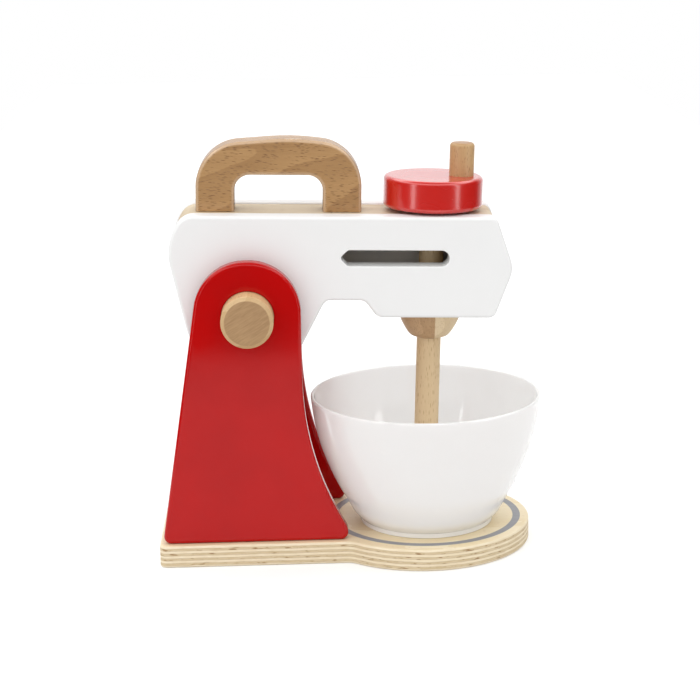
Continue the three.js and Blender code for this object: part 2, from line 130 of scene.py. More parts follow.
def rounded_outline(corners, step=step_turn):
    """A closed anticlockwise outline from corners (x, y, radius), limited by their sides."""
    count = len(corners)
    spots = [Vector(corner[:2]) for corner in corners]
    ways = [opening(spots[i - 1], spots[i], spots[(i + 1) % count]) for i in range(count)]
    runs = [corner[2] / math.tan(way[2]) for corner, way in zip(corners, ways)]
    for i in range(count):
        after = (i + 1) % count
        total = runs[i] + runs[after]
        fit = min(1, (spots[i] - spots[after]).length / total) if total else 1
        runs[i] *= fit
        runs[after] *= fit
    points = []
    for spot, way, run in zip(spots, ways, runs):
        points += bend(spot, *way, run, step) if run else [spot]
    return points


def circle(centre, radius, sides=96):
    """A closed round outline, anticlockwise."""
    return arc(centre, radius, 0, 2 * math.pi, 2 * math.pi / sides)[:-1]


square = rounded_outline([(0, 0, 1), (9, 0, 1), (9, 9, 1), (0, 9, 1)])
print("a square with round corners has", len(square), "points")

# %% [markdown]
# ## Boards with soft edges
#
# A board is an outline with a thickness, and its edges are routed to a soft round. A Bevel
# modifier could do it, but the flat faces of such a board then shade unevenly, because smooth
# shading spreads the turn of the edge over the whole face. Here the rings of the edge are laid one
# by one, and a guard ring a hair inside each flat face keeps that face dead flat. A cap with holes
# is filled by `tessellate_polygon`.

# %% Boards from rings
guard = 0.06 * mm
edge_steps = 6
quarter = math.pi / 2


def moved_in(loop, distance):
    """A closed loop moved to its left by a distance, square to its sides."""
    moved = []
    for i, point in enumerate(loop):
        before = (point - loop[i - 1]).normalized()
        after = (loop[(i + 1) % len(loop)] - point).normalized()
        along = (before + after).normalized()
        reach = distance / max(0.3, along.dot(before))
        moved.append(Vector((point.x - along.y * reach, point.y + along.x * reach)))
    return moved


def soft_edge(thickness, rounding):
    """Rings of a board's edge from its top face to its lower face: (inset, height)."""
    upper = []
    for i in range(edge_steps + 1):
        turn = quarter * i / edge_steps
        drop = rounding * (1 - math.cos(turn))
        upper.append((rounding * (1 - math.sin(turn)), thickness - drop))
    lower = [(inset, thickness - height) for inset, height in reversed(upper)]
    sides = [(0, thickness - rounding - guard), (0, rounding + guard)]
    return [(rounding + guard, thickness), *upper, *sides, *lower, (rounding + guard, 0)]


def board_mesh(name, outline, thickness, rounding, holes=()):
    """A board of an anticlockwise outline; holes are (anticlockwise loop, rings or a rounding)."""
    mesh = bmesh.new()
    caps = ([], [])
    loops = [(outline, rounding)] + [(loop[::-1], edge) for loop, edge in holes]
    for loop, edge in loops:
        rings = edge if isinstance(edge, list) else soft_edge(thickness, edge)
        rows = [
            [mesh.verts.new((p.x, p.y, height)) for p in moved_in(loop, inset)]
            for inset, height in rings
        ]
        caps[0].append(rows[0])
        caps[1].append(rows[-1])
        for upper, lower in zip(rows, rows[1:]):
            for i in range(len(loop)):
                mesh.faces.new((upper[i - 1], upper[i], lower[i], lower[i - 1]))
    for cap in caps:
        flat = [vertex for row in cap for vertex in row]
        for corners in tessellate_polygon([[vertex.co for vertex in row] for row in cap]):
            mesh.faces.new([flat[i] for i in corners])
    bmesh.ops.recalc_face_normals(mesh, faces=mesh.faces)
    data = bpy.data.meshes.new(name)
    mesh.to_mesh(data)
    mesh.free()
    return data


print("rings of a 15 mm board", len(soft_edge(15 * mm, 2 * mm)))

# %% [markdown]
# ## Writing nodes as arithmetic
#
# Shapes and finishes below are both made of nodes, and most of those nodes only add or multiply.
# A small class lets a node's output be used like a number, so that a pattern reads as the sum it
# is. Square brackets pick another output of the same node.

# %% Values from nodes
class Value:
    """What a node gives out; each sign between two values is one Math node."""

    def __init__(self, node, output=0):
        self.node, self.output, self.tree = node, output, node.id_data

    def __getitem__(self, output):
        return Value(self.node, output)

    def maths(self, operation, other=0.0):
        return build(self.tree, "ShaderNodeMath", {0: self, 1: other}, operation=operation)

    def __add__(self, other):
        return self.maths("ADD", other)

    def __sub__(self, other):
        return self.maths("SUBTRACT", other)

    def __mul__(self, other):
        return self.maths("MULTIPLY", other)

    def __truediv__(self, other):
        return self.maths("DIVIDE", other)


def fill(node, inputs):
    """Sets a node's inputs: values are linked, plain numbers and colours are written in."""
    for key, value in inputs.items():
        if isinstance(value, Value):
            node.id_data.links.new(value.node.outputs[value.output], node.inputs[key])
        else:
            node.inputs[key].default_value = value


def build(tree, kind, inputs=None, **settings):
    """Adds a node, sets its options and its inputs, and gives its first output."""
    node = tree.nodes.new(kind)
    for name, value in settings.items():
        setattr(node, name, value)
    fill(node, inputs or {})
    return Value(node)


def new_tree(name, kind, takes, gives):
    """A node group with sockets listed by their kind, its given values and its result node."""
    tree = bpy.data.node_groups.new(name, kind)
    for way, sockets in (("INPUT", takes), ("OUTPUT", gives)):
        for socket, labels in sockets.items():
            for label in labels:
                tree.interface.new_socket(
                    name=label, in_out=way, socket_type="NodeSocket" + socket,
                )
    return tree, build(tree, "NodeGroupInput"), tree.nodes.new("NodeGroupOutput")


trial = bpy.data.node_groups.new("trial", "ShaderNodeTree")
build(trial, "ShaderNodeValue") * 0.5 + 1.0
print("half of a value plus one takes", len(trial.nodes), "nodes")
bpy.data.node_groups.remove(trial)

# %% [markdown]
# ## Turned pieces from one geometry node tree
#
# Knob, peg, shaft, collar, dowel, washers and bowl are all turned: a profile swept about an axis.
# One node tree does it for all of them. It lays a grid with a row for each point of the profile
# and a column for each step of the turn, moves each grid point to its place on the circle, and
# merges the seam and the poles. The number of sides and the material are its named inputs.

# %% The turning tree
turned_sides = 128
merge_gap = 0.004 * mm


def end_tree(result, shape, finish):
    """The end of every tree: instances are made real and get their finish."""
    real = build(shape.tree, "GeometryNodeRealizeInstances", {"Geometry": shape})
    painted = build(shape.tree, "GeometryNodeSetMaterial", {"Geometry": real, "Material": finish})
    fill(result, {"Geometry": painted})


def turning_tree():
    """Sweeps a profile of points (radius, 0, height) about the Z axis."""
    tree, given, result = new_tree(
        "Turning", "GeometryNodeTree",
        {"Geometry": ["Profile"], "Int": ["Sides"], "Float": ["Merge gap"], "Material": ["Finish"]},
        {"Geometry": ["Geometry"]},
    )
    size = build(tree, "GeometryNodeAttributeDomainSize", {"Geometry": given["Profile"]})
    columns = given["Sides"] + 1.0
    grid = build(tree, "GeometryNodeMeshGrid", {
        "Vertices X": size["Point Count"], "Vertices Y": columns,
    })
    index = build(tree, "GeometryNodeInputIndex")
    row = (index / columns).maths("FLOOR")
    turn = (index - row * columns) * (2 * math.pi) / given["Sides"]
    point = build(tree, "GeometryNodeSampleIndex", {
        "Geometry": given["Profile"], "Value": build(tree, "GeometryNodeInputPosition"),
        "Index": row,
    }, data_type="FLOAT_VECTOR", domain="POINT")
    part = build(tree, "ShaderNodeSeparateXYZ", {0: point})
    swept = build(tree, "ShaderNodeCombineXYZ", {
        "X": part["X"] * turn.maths("COSINE"), "Y": part["X"] * turn.maths("SINE"), "Z": part["Z"],
    })
    moved = build(tree, "GeometryNodeSetPosition", {"Geometry": grid["Mesh"], "Position": swept})
    merged = build(tree, "GeometryNodeMergeByDistance", {
        "Geometry": moved, "Distance": given["Merge gap"],
    })
    end_tree(result, merged, given["Finish"])
    return tree


turning = turning_tree()
print("turning tree has", len(turning.nodes), "nodes")

# %% [markdown]
# ## Running a tree and keeping its result
#
# A modifier's inputs are set by the identifiers of the tree's sockets. The evaluated result is
# then copied into a plain mesh, and the object that carried the modifier is thrown away, so that
# nothing is left to evaluate later.

# %% From a tree to a plain mesh
def in_scene(name, data):
    """A new object of a mesh, a lamp or a camera, linked into the scene."""
    thing = bpy.data.objects.new(name, data)
    bpy.context.scene.collection.objects.link(thing)
    return thing


def result_of(thing):
    """A plain mesh of what an object's modifiers make."""
    bpy.context.view_layer.update()
    evaluated = thing.evaluated_get(bpy.context.evaluated_depsgraph_get())
    return bpy.data.meshes.new_from_object(evaluated)


def run_tree(name, start, tree, values):
    """The mesh that a geometry node tree makes of a starting mesh with these named inputs."""
    carrier = in_scene(name + ".carrier", start)
    modifier = carrier.modifiers.new("tree", "NODES")
    modifier.node_group = tree
    for item in tree.interface.items_tree:
        if item.in_out == "INPUT" and item.name in values:
            modifier[item.identifier] = values[item.name]
    data = result_of(carrier)
    data.name = name
    bpy.data.objects.remove(carrier)
    return data


def turned_mesh(name, profile, sides=turned_sides):
    """A turned piece from points (radius, height) in metres."""
    line = bpy.data.meshes.new(name + ".profile")
    edges = [(i, i + 1) for i in range(len(profile) - 1)]
    line.from_pydata([(radius, 0, height) for radius, height in profile], edges, [])
    return run_tree(name, line, turning, {"Sides": sides, "Merge gap": merge_gap})


def soft_profile(corners):
    """An open profile from corners (radius, height, rounding), with guard points."""
    spots = [Vector(corner[:2]) for corner in corners]
    points = [spots[0]]
    for before, spot, after, corner in zip(spots, spots[1:], spots[2:], corners[1:]):
        back, ahead, half = opening(before, spot, after)
        run = corner[2] / math.tan(half)
        curve = bend(spot, back, ahead, half, run, quarter / edge_steps)
        points += [spot + back * (run + guard), *curve, spot + ahead * (run + guard)]
    return [tuple(point) for point in (*points, spots[-1])]


test = turned_mesh("test_disc", [(0, 0), (9 * mm, 0), (9 * mm, 2 * mm), (0, 2 * mm)], 12)
print("a turned disc with 12 sides has", len(test.vertices), "vertices")
bpy.data.meshes.remove(test)

# %% [markdown]
# ## Placing a finished piece
#
# Every piece ends the same way: it gets its place in its mesh, smooth faces with crisp creases,
# its material, the body that it rides on, the node that it stands for and its material slot.
# Wooden pieces also get an attribute that says how squarely each face turns towards the grain,
# because end grain drinks more oil and looks darker. A board can get a second one, which is zero
# on its flat faces and sides and grows on the roundings between them.

# %% Finishing a piece
crease_turn = math.radians(38)


def face_values(data, name, values):
    """A named number on each face of a mesh."""
    data.attributes.new(name, "FLOAT", "FACE").data.foreach_set("value", values)


def finished(name, data, place, body, node, finish, grain=None, flat=None):
    """An object of a finished mesh in its place; node is a name or several."""
    data.transform(place)
    shape = bmesh.new()
    shape.from_mesh(data)
    bmesh.ops.recalc_face_normals(shape, faces=shape.faces)
    shape.to_mesh(data)
    shape.free()
    data.shade_smooth()
    data.set_sharp_from_angle(angle=crease_turn)
    if grain:
        way = (place.to_3x3() @ Vector(grain)).normalized()
        face_values(data, "facing", [abs(face.normal.dot(way)) for face in data.polygons])
    if flat:
        leans = [abs(face.normal.dot(Vector(flat))) for face in data.polygons]
        sides = [math.sqrt(max(0, 1 - lean**2)) for lean in leans]
        face_values(data, "eased", [1 - max(pair) for pair in zip(leans, sides)])
    data.materials.clear()
    data.materials.append(finish)
    piece = in_scene(name, data)
    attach(piece, body)
    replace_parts(piece, *([node] if isinstance(node, str) else node))
    print(name, len(data.polygons), "faces")


def turned(name, node, profile, place, body, finish, sides=turned_sides, grain=None):
    """A finished piece turned from a profile."""
    finished(name, turned_mesh(node, profile, sides), place, body, node, finish, grain)


def cut_by(data, cutters):
    """A mesh with other closed meshes cut out of it; their faces have to look outwards."""
    work = in_scene("work", data)
    tools = [in_scene("tool", cutter) for cutter in cutters]
    for tool in tools:
        modifier = work.modifiers.new("cut", "BOOLEAN")
        modifier.object = tool
        modifier.operation = "DIFFERENCE"
        modifier.solver = "EXACT"
    done = result_of(work)
    for gone in (work, *tools):
        bpy.data.objects.remove(gone)
    return done


def sliced(data, point, normal):
    """Cuts a mesh flat by a plane and takes off the side that the normal points to."""
    shape = bmesh.new()
    shape.from_mesh(data)
    cut = bmesh.ops.bisect_plane(
        shape, geom=[*shape.verts, *shape.edges, *shape.faces],
        plane_co=point, plane_no=normal, clear_outer=True,
    )
    edges = [part for part in cut["geom_cut"] if isinstance(part, bmesh.types.BMEdge)]
    bmesh.ops.holes_fill(shape, edges=edges, sides=0)
    shape.to_mesh(data)
    shape.free()


print("creases are kept above", round(math.degrees(crease_turn)), "degrees")

# %% [markdown]
# ## The camera
#
# The camera was fitted to points of the real toy whose places are known: the corners of the base,
# the printed ring, the uprights and the rim of the bowl. It stands a little over a metre away and
# looks down by 14 degrees, through a long lens that keeps the uprights nearly parallel.

# %% Camera
camera_spot = Vector((-80.7, -1264.0, 447.6)) * mm
camera_pitch = math.radians(13.974)
camera_yaw = math.radians(1.405)
camera_roll = math.radians(-1.081)
lens_pixels = 1927.2
frame_pixels = 700

camera = in_scene("camera", bpy.data.cameras.new("camera"))
camera.data.sensor_width = 36
camera.data.lens = lens_pixels / frame_pixels * camera.data.sensor_width
level = Matrix.Rotation(-camera_yaw, 4, "Z") @ Matrix.Rotation(quarter - camera_pitch, 4, "X")
aim = level @ Matrix.Rotation(camera_roll, 4, "Z")
camera.matrix_world = Matrix.Translation(camera_spot) @ aim
bpy.context.scene.camera = camera
print("lens", round(camera.data.lens, 1), "mm")

# %% [markdown]
# ## Small helpers for finishes
#
# A finish is a material whose pattern comes from nodes that read the object's own coordinates, so
# that the grain stays in the wood when a piece moves. The nodes used most often are wrapped in
# short functions. A noise lies mostly between 0.3 and 0.7, so that is the range that `ranged`
# spreads when it is told no other.

# %% Helpers for finishes
def stretched(vector, scale):
    """Coordinates scaled on each axis: a pattern is drawn out along the smallest scale."""
    return build(vector.tree, "ShaderNodeMapping", {"Vector": vector, "Scale": scale})


def noise(vector, scale, detail=2.0, distortion=0.0):
    """A soft noise from 0 to 1; the scale is about its features in a metre on each axis."""
    return build(vector.tree, "ShaderNodeTexNoise", {
        "Vector": stretched(vector, scale), "Scale": 1.0,
        "Detail": detail, "Distortion": distortion,
    })


def cells(vector, scale):
    """Scattered cells, each with a colour of its own and the distance from its middle."""
    inputs = {"Vector": stretched(vector, scale), "Scale": 1.0}
    return build(vector.tree, "ShaderNodeTexVoronoi", inputs)


def ranged(value, low=0.3, high=0.7, first=0.0, last=1.0):
    """A value carried from one range to another, and held at its ends."""
    return build(value.tree, "ShaderNodeMapRange", {
        "Value": value, "From Min": low, "From Max": high, "To Min": first, "To Max": last,
    })


def mixed(share, first, second):
    """Two colours mixed by a share."""
    inputs = {0: share, 6: first, 7: second}
    return build(share.tree, "ShaderNodeMix", inputs, data_type="RGBA")[2]


def new_finish(name):
    """An empty material: the material, its tree and its Principled shader."""
    finish = bpy.data.materials.new(name)
    finish.use_nodes = True
    tree = finish.node_tree
    tree.nodes.clear()
    shader = build(tree, "ShaderNodeBsdfPrincipled")
    build(tree, "ShaderNodeOutputMaterial", {"Surface": shader})
    return finish, tree, shader.node


def own_place(tree, turn=(0, 0, 0), shift=(0, 0, 0)):
    """The object's own coordinates, shifted and then turned so that the grain lies along X."""
    place = build(tree, "ShaderNodeTexCoord")["Object"]
    moved = build(tree, "ShaderNodeVectorMath", {0: place, 1: shift}, operation="ADD")
    return build(tree, "ShaderNodeMapping", {"Vector": moved, "Rotation": turn})


def split(vector):
    """The three parts of a vector, picked by X, Y and Z."""
    return build(vector.tree, "ShaderNodeSeparateXYZ", {0: vector})


def face_value(tree, name):
    """A number that the faces carry."""
    return build(tree, "ShaderNodeAttribute", attribute_name=name)["Fac"]


def bumped(height, distance):
    """The normal of a fine relief; its strength and distance are plain values."""
    inputs = {"Height": height, "Distance": distance, "Strength": 1.0}
    return build(height.tree, "ShaderNodeBump", inputs)


def colour(red, green, blue):
    """A colour as it is read off a screen, 0 to 255, made linear."""
    parts = [part / 255 for part in (red, green, blue)]
    return (*[p / 12.92 if p <= 0.04045 else ((p + 0.055) / 1.055) ** 2.4 for p in parts], 1)


print("mid grey is", [round(part, 3) for part in colour(128, 128, 128)[:3]])

# %% [markdown]
# ## Wood grain, shared by every bare piece
#
# Beech, birch and the pale wood of the core differ in colour and in how strongly they are marked,
# but they are all built of the same things: growth rings, fine lines, hair-thin fibres, and on
# beech the short dark flecks of its rays. All run along the grain, here X. A ring is a sharp dark
# edge that fades back to pale wood, which is just what the fraction of a slowly growing number
# gives, so the rings are cut from a slanted plane coordinate with a little sway. Noise alone would
# draw closed eyes instead of lines. Where a face cuts across the grain, the ends of the fibres
# show, and the wood is darker. One node group holds all this, and each finish gives it its own
# colours, slant and flecks.

# %% Group for wood grain
ring_lean = -0.55
rings_in_metre = 42.0
ring_sway = 1.8
wood_index = 1.45
pore_depth = 0.03 * mm
along_z = (0, quarter, 0)
along_y = (0, 0, quarter)
surface_sockets = {"Color": ["Colour"], "Float": ["Height", "Roughness"]}


def wood_group():
    """Wood with its grain along X."""
    tree, given, result = new_tree("Wood grain", "ShaderNodeTree", {
        "Vector": ["Vector", "Slant", "Fleck cells"],
        "Color": ["Light", "Dark", "Fleck", "End"],
        "Float": ["Fleck share", "End grain", "Smooth"],
    }, surface_sockets)
    place, end_grain = given["Vector"], given["End grain"]
    slanted = build(tree, "ShaderNodeMapping", {"Vector": place, "Rotation": given["Slant"]})
    sway = noise(slanted, (14, 40, 40), 1.0)
    ring_edge = (split(slanted)["Z"] * rings_in_metre + sway * ring_sway).maths("FRACT")
    lines = noise(place, (13, 560, 560), 3.0, 0.3)
    fibres = noise(place, (170, 4200, 4200))
    tone = ring_edge * 0.6 + ranged(lines, last=0.25) + ranged(fibres, last=0.2)
    bare = mixed(tone, given["Light"], given["Dark"])
    rays = cells(place, given["Fleck cells"])
    pick = build(tree, "ShaderNodeSeparateColor", {0: rays["Color"]})
    chosen = pick.maths("LESS_THAN", given["Fleck share"])
    fleck = ranged(rays["Distance"], 0.32, 0.14) * chosen
    marked = mixed(fleck - fleck * end_grain, bare, given["Fleck"])
    pores = ranged(noise(slanted, (20, 110, 950), 3.0, 0.4), 0.34, 0.66)
    ends = mixed(pores * 0.45, given["End"], given["Fleck"])
    fill(result, {
        "Colour": mixed(end_grain, marked, ends),
        "Height": fibres + lines - fleck,
        "Roughness": tone * 0.16 + given["Smooth"],
    })
    return tree


wood_grain = wood_group()


def grained(place, tones, fleck_share, end_grain, smooth=0.46, slope=0.05,
            flecks=(150, 1500, 1500)):
    """Wood at a place in four tones: light, dark, flecks and end grain."""
    light, dark, fleck, end = [colour(*tone) for tone in tones]
    return build(place.tree, "ShaderNodeGroup", {
        "Vector": place, "Light": light, "Dark": dark, "Fleck": fleck, "End": end,
        "Fleck share": fleck_share, "End grain": end_grain, "Smooth": smooth,
        "Slant": (ring_lean, slope, 0), "Fleck cells": flecks,
    }, node_tree=wood_grain)


def wooden(shader, shade, grain, index=wood_index):
    """Gives a shader the look of a piece of wood in this shade."""
    fill(shader, {
        "Base Color": shade, "Roughness": grain["Roughness"], "IOR": index,
        "Normal": bumped(grain["Height"], pore_depth),
    })


def wood_finish(name, tones, fleck_share, turn=(0, 0, 0), shift=(0, 0, 0), index=wood_index,
                edge_sheen=None, **marks):
    """A bare wood finish; turn brings the piece's grain onto X. A colour given for the roundings
    paints a paler highlight on them.
    """
    finish, tree, shader = new_finish(name)
    end_grain = face_value(tree, "facing").maths("POWER", 3.0)
    grain = grained(own_place(tree, turn, shift), tones, fleck_share, end_grain, **marks)
    shade = grain["Colour"]
    # The roundings are mixed towards a paler colour: a painted highlight where the rounded edge
    # catches the light.
    if edge_sheen:
        eased = ranged(face_value(tree, "eased"), 0.0, 0.25, 0.0, 0.5)
        shade = mixed(eased, shade, colour(*edge_sheen))
    wooden(shader, shade, grain, index)
    return finish


def collar_finish():
    """The collar's two sticks: a darker one on the tail side and a paler one on the nose side."""
    finish, tree, shader = new_finish("collar_beech")
    end_grain = face_value(tree, "facing").maths("POWER", 9.0)
    tail, nose = [
        grained(own_place(tree, along_z, shift), (light, dark, fleck, dark), 0.9, end_grain)
        for light, dark, fleck, shift in (
            ((204, 168, 128), (182, 146, 106), (146, 108, 72), (0.9, 0.4, 0)),
            ((238, 216, 180), (222, 196, 156), (200, 168, 124), (0.4, 0.8, 0)),
        )
    ]
    nose_side = ranged(split(own_place(tree))["X"], 6.6 * mm, 6.8 * mm)
    wooden(shader, mixed(nose_side, tail["Colour"], nose["Colour"]), tail)
    return finish


print("wood group has", len(wood_grain.nodes), "nodes")

# %% [markdown]
# ## Painted skins
#
# The red and white boards are sprayed. A sprayed skin is never quite flat: it has a fine orange
# peel, slow waves where the coat is thicker, and a few nibs of dust. Gloss lacquer shows the same,
# only finer. A second group gives these, and each paint says how wavy and how fine its skin is.

# %% Group for painted skins
def skin_group():
    """Sprayed paint between two tones and two roughnesses."""
    tree, given, result = new_tree("Sprayed skin", "ShaderNodeTree", {
        "Vector": ["Vector", "Peel cells"], "Color": ["Paint", "Thin paint"],
        "Float": ["Smooth", "Rough", "Wavy"],
    }, surface_sockets)
    place = given["Vector"]
    waves = noise(place, (34, 34, 34))
    peel = noise(place, given["Peel cells"])
    nibs = ranged(cells(place, (75, 75, 75))["Distance"], 0.035, 0.01)
    tone = ranged(waves)
    fill(result, {
        "Colour": mixed(tone, given["Paint"], given["Thin paint"]),
        "Height": waves * given["Wavy"] + (peel + nibs),
        "Roughness": (given["Rough"] - given["Smooth"]) * tone + given["Smooth"],
    })
    return tree


sprayed_skin = skin_group()


def painted_finish(name, paint, thin, smooth, rough, relief, wavy=3.0, peel=620):
    """A sprayed finish between two tones and two roughnesses; relief is its depth in metres."""
    finish, tree, shader = new_finish(name)
    skin = build(tree, "ShaderNodeGroup", {
        "Vector": own_place(tree), "Paint": (*paint, 1), "Thin paint": (*thin, 1),
        "Smooth": smooth, "Rough": rough, "Wavy": wavy, "Peel cells": (peel, peel, peel),
    }, node_tree=sprayed_skin)
    fill(shader, {
        "Base Color": skin["Colour"], "Roughness": skin["Roughness"],
        "Normal": bumped(skin["Height"], relief),
    })
    return finish, tree, shader


print("skin group has", len(sprayed_skin.nodes), "nodes")

# %% [markdown]
# ## Birch plywood for the base
#
# The base is nine layers of birch. On its faces the veneer's grain shows. Along its edge every
# second layer is cut across, so it drinks more lacquer and looks darker, with brown streaks where
# the knife tore it. Each face of the base says by its attribute whether it is veneer or edge, and
# the edge takes its layers from the height. The grey ring that shows where the bowl belongs is
# printed on the veneer, so it is a band of distance from the middle of the lobe.

# %% Plywood finish
base_thick = 15 * mm
ply_count = 9
ring_inner = 60.3 * mm
ring_outer = 65.4 * mm
ring_blur = 0.12 * mm


def printed_ring(place, height):
    """One on the printed ring of the upper face, and zero elsewhere."""
    kind = "ShaderNodeVectorMath"
    around = build(place.tree, kind, {0: place, 1: (1, 1, 0)}, operation="MULTIPLY")
    reach = build(place.tree, kind, {0: around}, operation="LENGTH")["Value"]
    off = (reach - (ring_inner + ring_outer) / 2).maths("ABSOLUTE")
    half = (ring_outer - ring_inner) / 2
    upper = height.maths("GREATER_THAN", base_thick / 2)
    return ranged(off, half + ring_blur, half - ring_blur) * upper


def plywood_finish():
    """Veneer on the faces, and nine layers along the edge."""
    finish, tree, shader = new_finish("plywood")
    place = own_place(tree)
    height = split(place)["Z"]
    flat = ranged(face_value(tree, "facing"), 0.75, 0.95)
    veneer = ((244, 230, 199), (231, 211, 170), (205, 178, 134), (205, 178, 134))
    grain = grained(place, veneer, 0.12, 0.0, 0.42, flecks=(270, 1600, 1600))
    ink_tone = ranged(noise(place, (60, 900, 900), 3.0))
    ink = mixed(ink_tone, colour(122, 126, 138), colour(138, 141, 150))
    face = mixed(printed_ring(place, height) * 0.93, grain["Colour"], ink)
    wobble = noise(place, (45, 45, 45), 3.0) * 0.4
    layer = height * (ply_count / base_thick) + wobble - 0.2
    crossed = ranged(layer.maths("FLOOR").maths("MODULO", 2.0).maths("ABSOLUTE"), 0.2, 0.8)
    seam = ranged((layer * math.pi).maths("COSINE").maths("ABSOLUTE"), 0.96, 1.0)
    streaks = noise(place, (130, 130, 900), 3.0, 0.5)
    torn = ranged(noise(place, (150, 150, 700), 3.0), 0.56, 0.68)
    light_layer = mixed(ranged(streaks), colour(242, 229, 202), colour(230, 213, 181))
    dark_layer = mixed(ranged(streaks), colour(222, 203, 168), colour(206, 184, 145))
    dark_layer = mixed(torn, dark_layer, colour(160, 126, 84))
    edge = mixed(crossed, light_layer, dark_layer)
    edge = mixed(seam * 0.45, edge, colour(170, 140, 98))
    fill(shader, {
        "Base Color": mixed(flat, edge, face), "IOR": wood_index,
        "Roughness": mixed(flat, (0.62, 0.62, 0.62, 1), (0.42, 0.42, 0.42, 1)),
        "Normal": bumped(grain["Height"] + streaks * 1.5, 0.025 * mm),
    })
    return finish


plywood = plywood_finish()
print("one layer is", round(base_thick / ply_count / mm, 2), "mm")

# %% [markdown]
# ## Finishes of the bare wooden pieces
#
# Every bare piece is cut from its own stick, so each gets its own tones and its own place in the
# grain. The handle's grain runs along its bar, and its roundings are painted paler: a painted
# highlight where the rounded edge catches the light. The peg, the shaft, the collar and the pivot
# dowel are turned along their grain, and are smoother where hands hold them.

# %% Wooden finishes
# The paler colour given for the handle's roundings is a painted highlight, not a colour of the
# wood.
handle_wood = wood_finish(
    "handle_beech", ((190, 150, 103), (162, 121, 75), (104, 66, 36), (150, 108, 68)),
    0.95, (0, -math.radians(5), 0), index=1.6, edge_sheen=(236, 208, 176),
    smooth=0.18, slope=0.35, flecks=(180, 1500, 1500),
)
peg_wood = wood_finish(
    "peg_beech", ((208, 174, 127), (182, 143, 97), (164, 122, 80), (170, 128, 86)),
    0.95, along_z, (0.342, 0.1, 0), smooth=0.28, flecks=(230, 1500, 1500),
)
shaft_wood = wood_finish(
    "shaft_beech", ((234, 208, 168), (214, 184, 140), (184, 147, 101), (190, 156, 112)),
    0.75, along_z, (0.7, 0.2, 0),
)
dowel_wood = wood_finish(
    "dowel_wood", ((226, 196, 150), (206, 170, 120), (140, 104, 68), (176, 141, 100)),
    0.2, along_y, (0, 0, 0.2),
)
collar_wood = collar_finish()
core_wood = wood_finish(
    "core_wood", ((224, 208, 180), (204, 185, 153), (184, 156, 120), (196, 170, 134)), 0.2,
)
wooden_names = [m.name for m in bpy.data.materials if "beech" in m.name or "wood" in m.name]
print("wooden finishes", wooden_names)

# %% [markdown]
# ## Red and white paint
#
# The uprights are satin red, the knob is a deeper gloss, and the boards of the head are satin
# white. Each board of the head is painted all over before it is glued, so the slot shows a white
# wall behind the shaft. The bowl is a smooth white plastic, and its thin wall lets light through:
# that is why its inside looks nearly as bright as its outside. A plain white would be too dark
# inside. The foot is thick and solid, so the light that goes through fades out towards it.

# %% Paints and plastics
red_paint, tree, shader = painted_finish(
    "red_paint", (0.48, 0.003, 0.003), (0.44, 0.003, 0.003), 0.09, 0.13, 0.012 * mm,
)
fill(shader, {"IOR": 1.34})
red_gloss, tree, shader = painted_finish(
    "red_gloss", (0.6, 0.008, 0.003), (0.575, 0.007, 0.003), 0.24, 0.3, 0.035 * mm, 0.1, 1100,
)
relief = Value(shader.inputs["Normal"].links[0].from_node)
fill(shader, {"Coat Weight": 1.0, "Coat Roughness": 0.16, "Coat Normal": relief})
white_plastic, tree, shader = painted_finish(
    "white_plastic", (0.885, 0.884, 0.882), (0.875, 0.874, 0.872), 0.05, 0.07, 0.006 * mm,
)
fill(shader, {
    "Subsurface Weight": ranged(split(own_place(tree))["Z"], 19 * mm, 30 * mm),
    "Subsurface Radius": (1, 1, 1), "Subsurface Scale": 14 * mm,
})
white_paint, tree, shader = painted_finish(
    "white_paint", (0.87, 0.87, 0.865), (0.855, 0.855, 0.85), 0.36, 0.42, 0.02 * mm,
)
print("painted skins", sprayed_skin.users)

# %% [markdown]
# ## Zinc and nylon
#
# The screws are zinc plated: a metal with fine turning marks. The washers are natural nylon, milky
# and slightly mottled. Both sit where one has to look for them, but they are seen from below and
# when the head is tilted.

# %% Zinc and nylon finishes
def plain_finish(name, scale, light, dark, smooth, rough, metallic=0.0):
    """A finish with one fine pattern in its tone, its roughness and its relief."""
    finish, tree, shader = new_finish(name)
    marks = noise(own_place(tree), scale, 3.0)
    fill(shader, {
        "Base Color": mixed(ranged(marks), colour(*light), colour(*dark)),
        "Roughness": ranged(marks, first=smooth, last=rough), "Metallic": metallic,
        "Normal": bumped(marks, 0.01 * mm),
    })
    return finish


screw_steel = plain_finish(
    "screw_steel", (900, 900, 5200), (196, 198, 196), (168, 171, 172), 0.28, 0.42, 1.0,
)
washer_nylon = plain_finish(
    "washer_nylon", (260, 260, 260), (240, 238, 228), (228, 224, 210), 0.38, 0.5,
)
print("finishes", len(bpy.data.materials))

# %% [markdown]
# ## The base
#
# The base is a rectangle under the uprights that runs into a round lobe under the bowl, through a
# small fillet on each side. The outline is laid out as a maker would do it: two corners, two
# fillets and one big arc. The screws come up through it, so it has four countersunk holes.

# %% Base plate
foot_nose = 62.6 * mm
foot_tail = 60.9 * mm
upright_inner = 37.5 * mm
upright_thick = 12 * mm
upright_outer = upright_inner + upright_thick
upright_middle = upright_inner + upright_thick / 2
base_half = upright_outer + 4 * mm
base_tail = -pivot.x + foot_tail + 2 * mm
base_corner = 5 * mm
lobe_radius = 73.2 * mm
lobe_setback = 2 * mm
neck_round = 10 * mm
pilot_radius = 2.3 * mm
screw_spots = [
    (x, y) for y in (-upright_middle, upright_middle)
    for x in (pivot.x - foot_tail / 2, pivot.x + foot_nose / 2)
]
screw_hole = [(0, base_thick), (0, 2.9 * mm), (2 * mm, 0.3 * mm), (2 * mm, 0)]

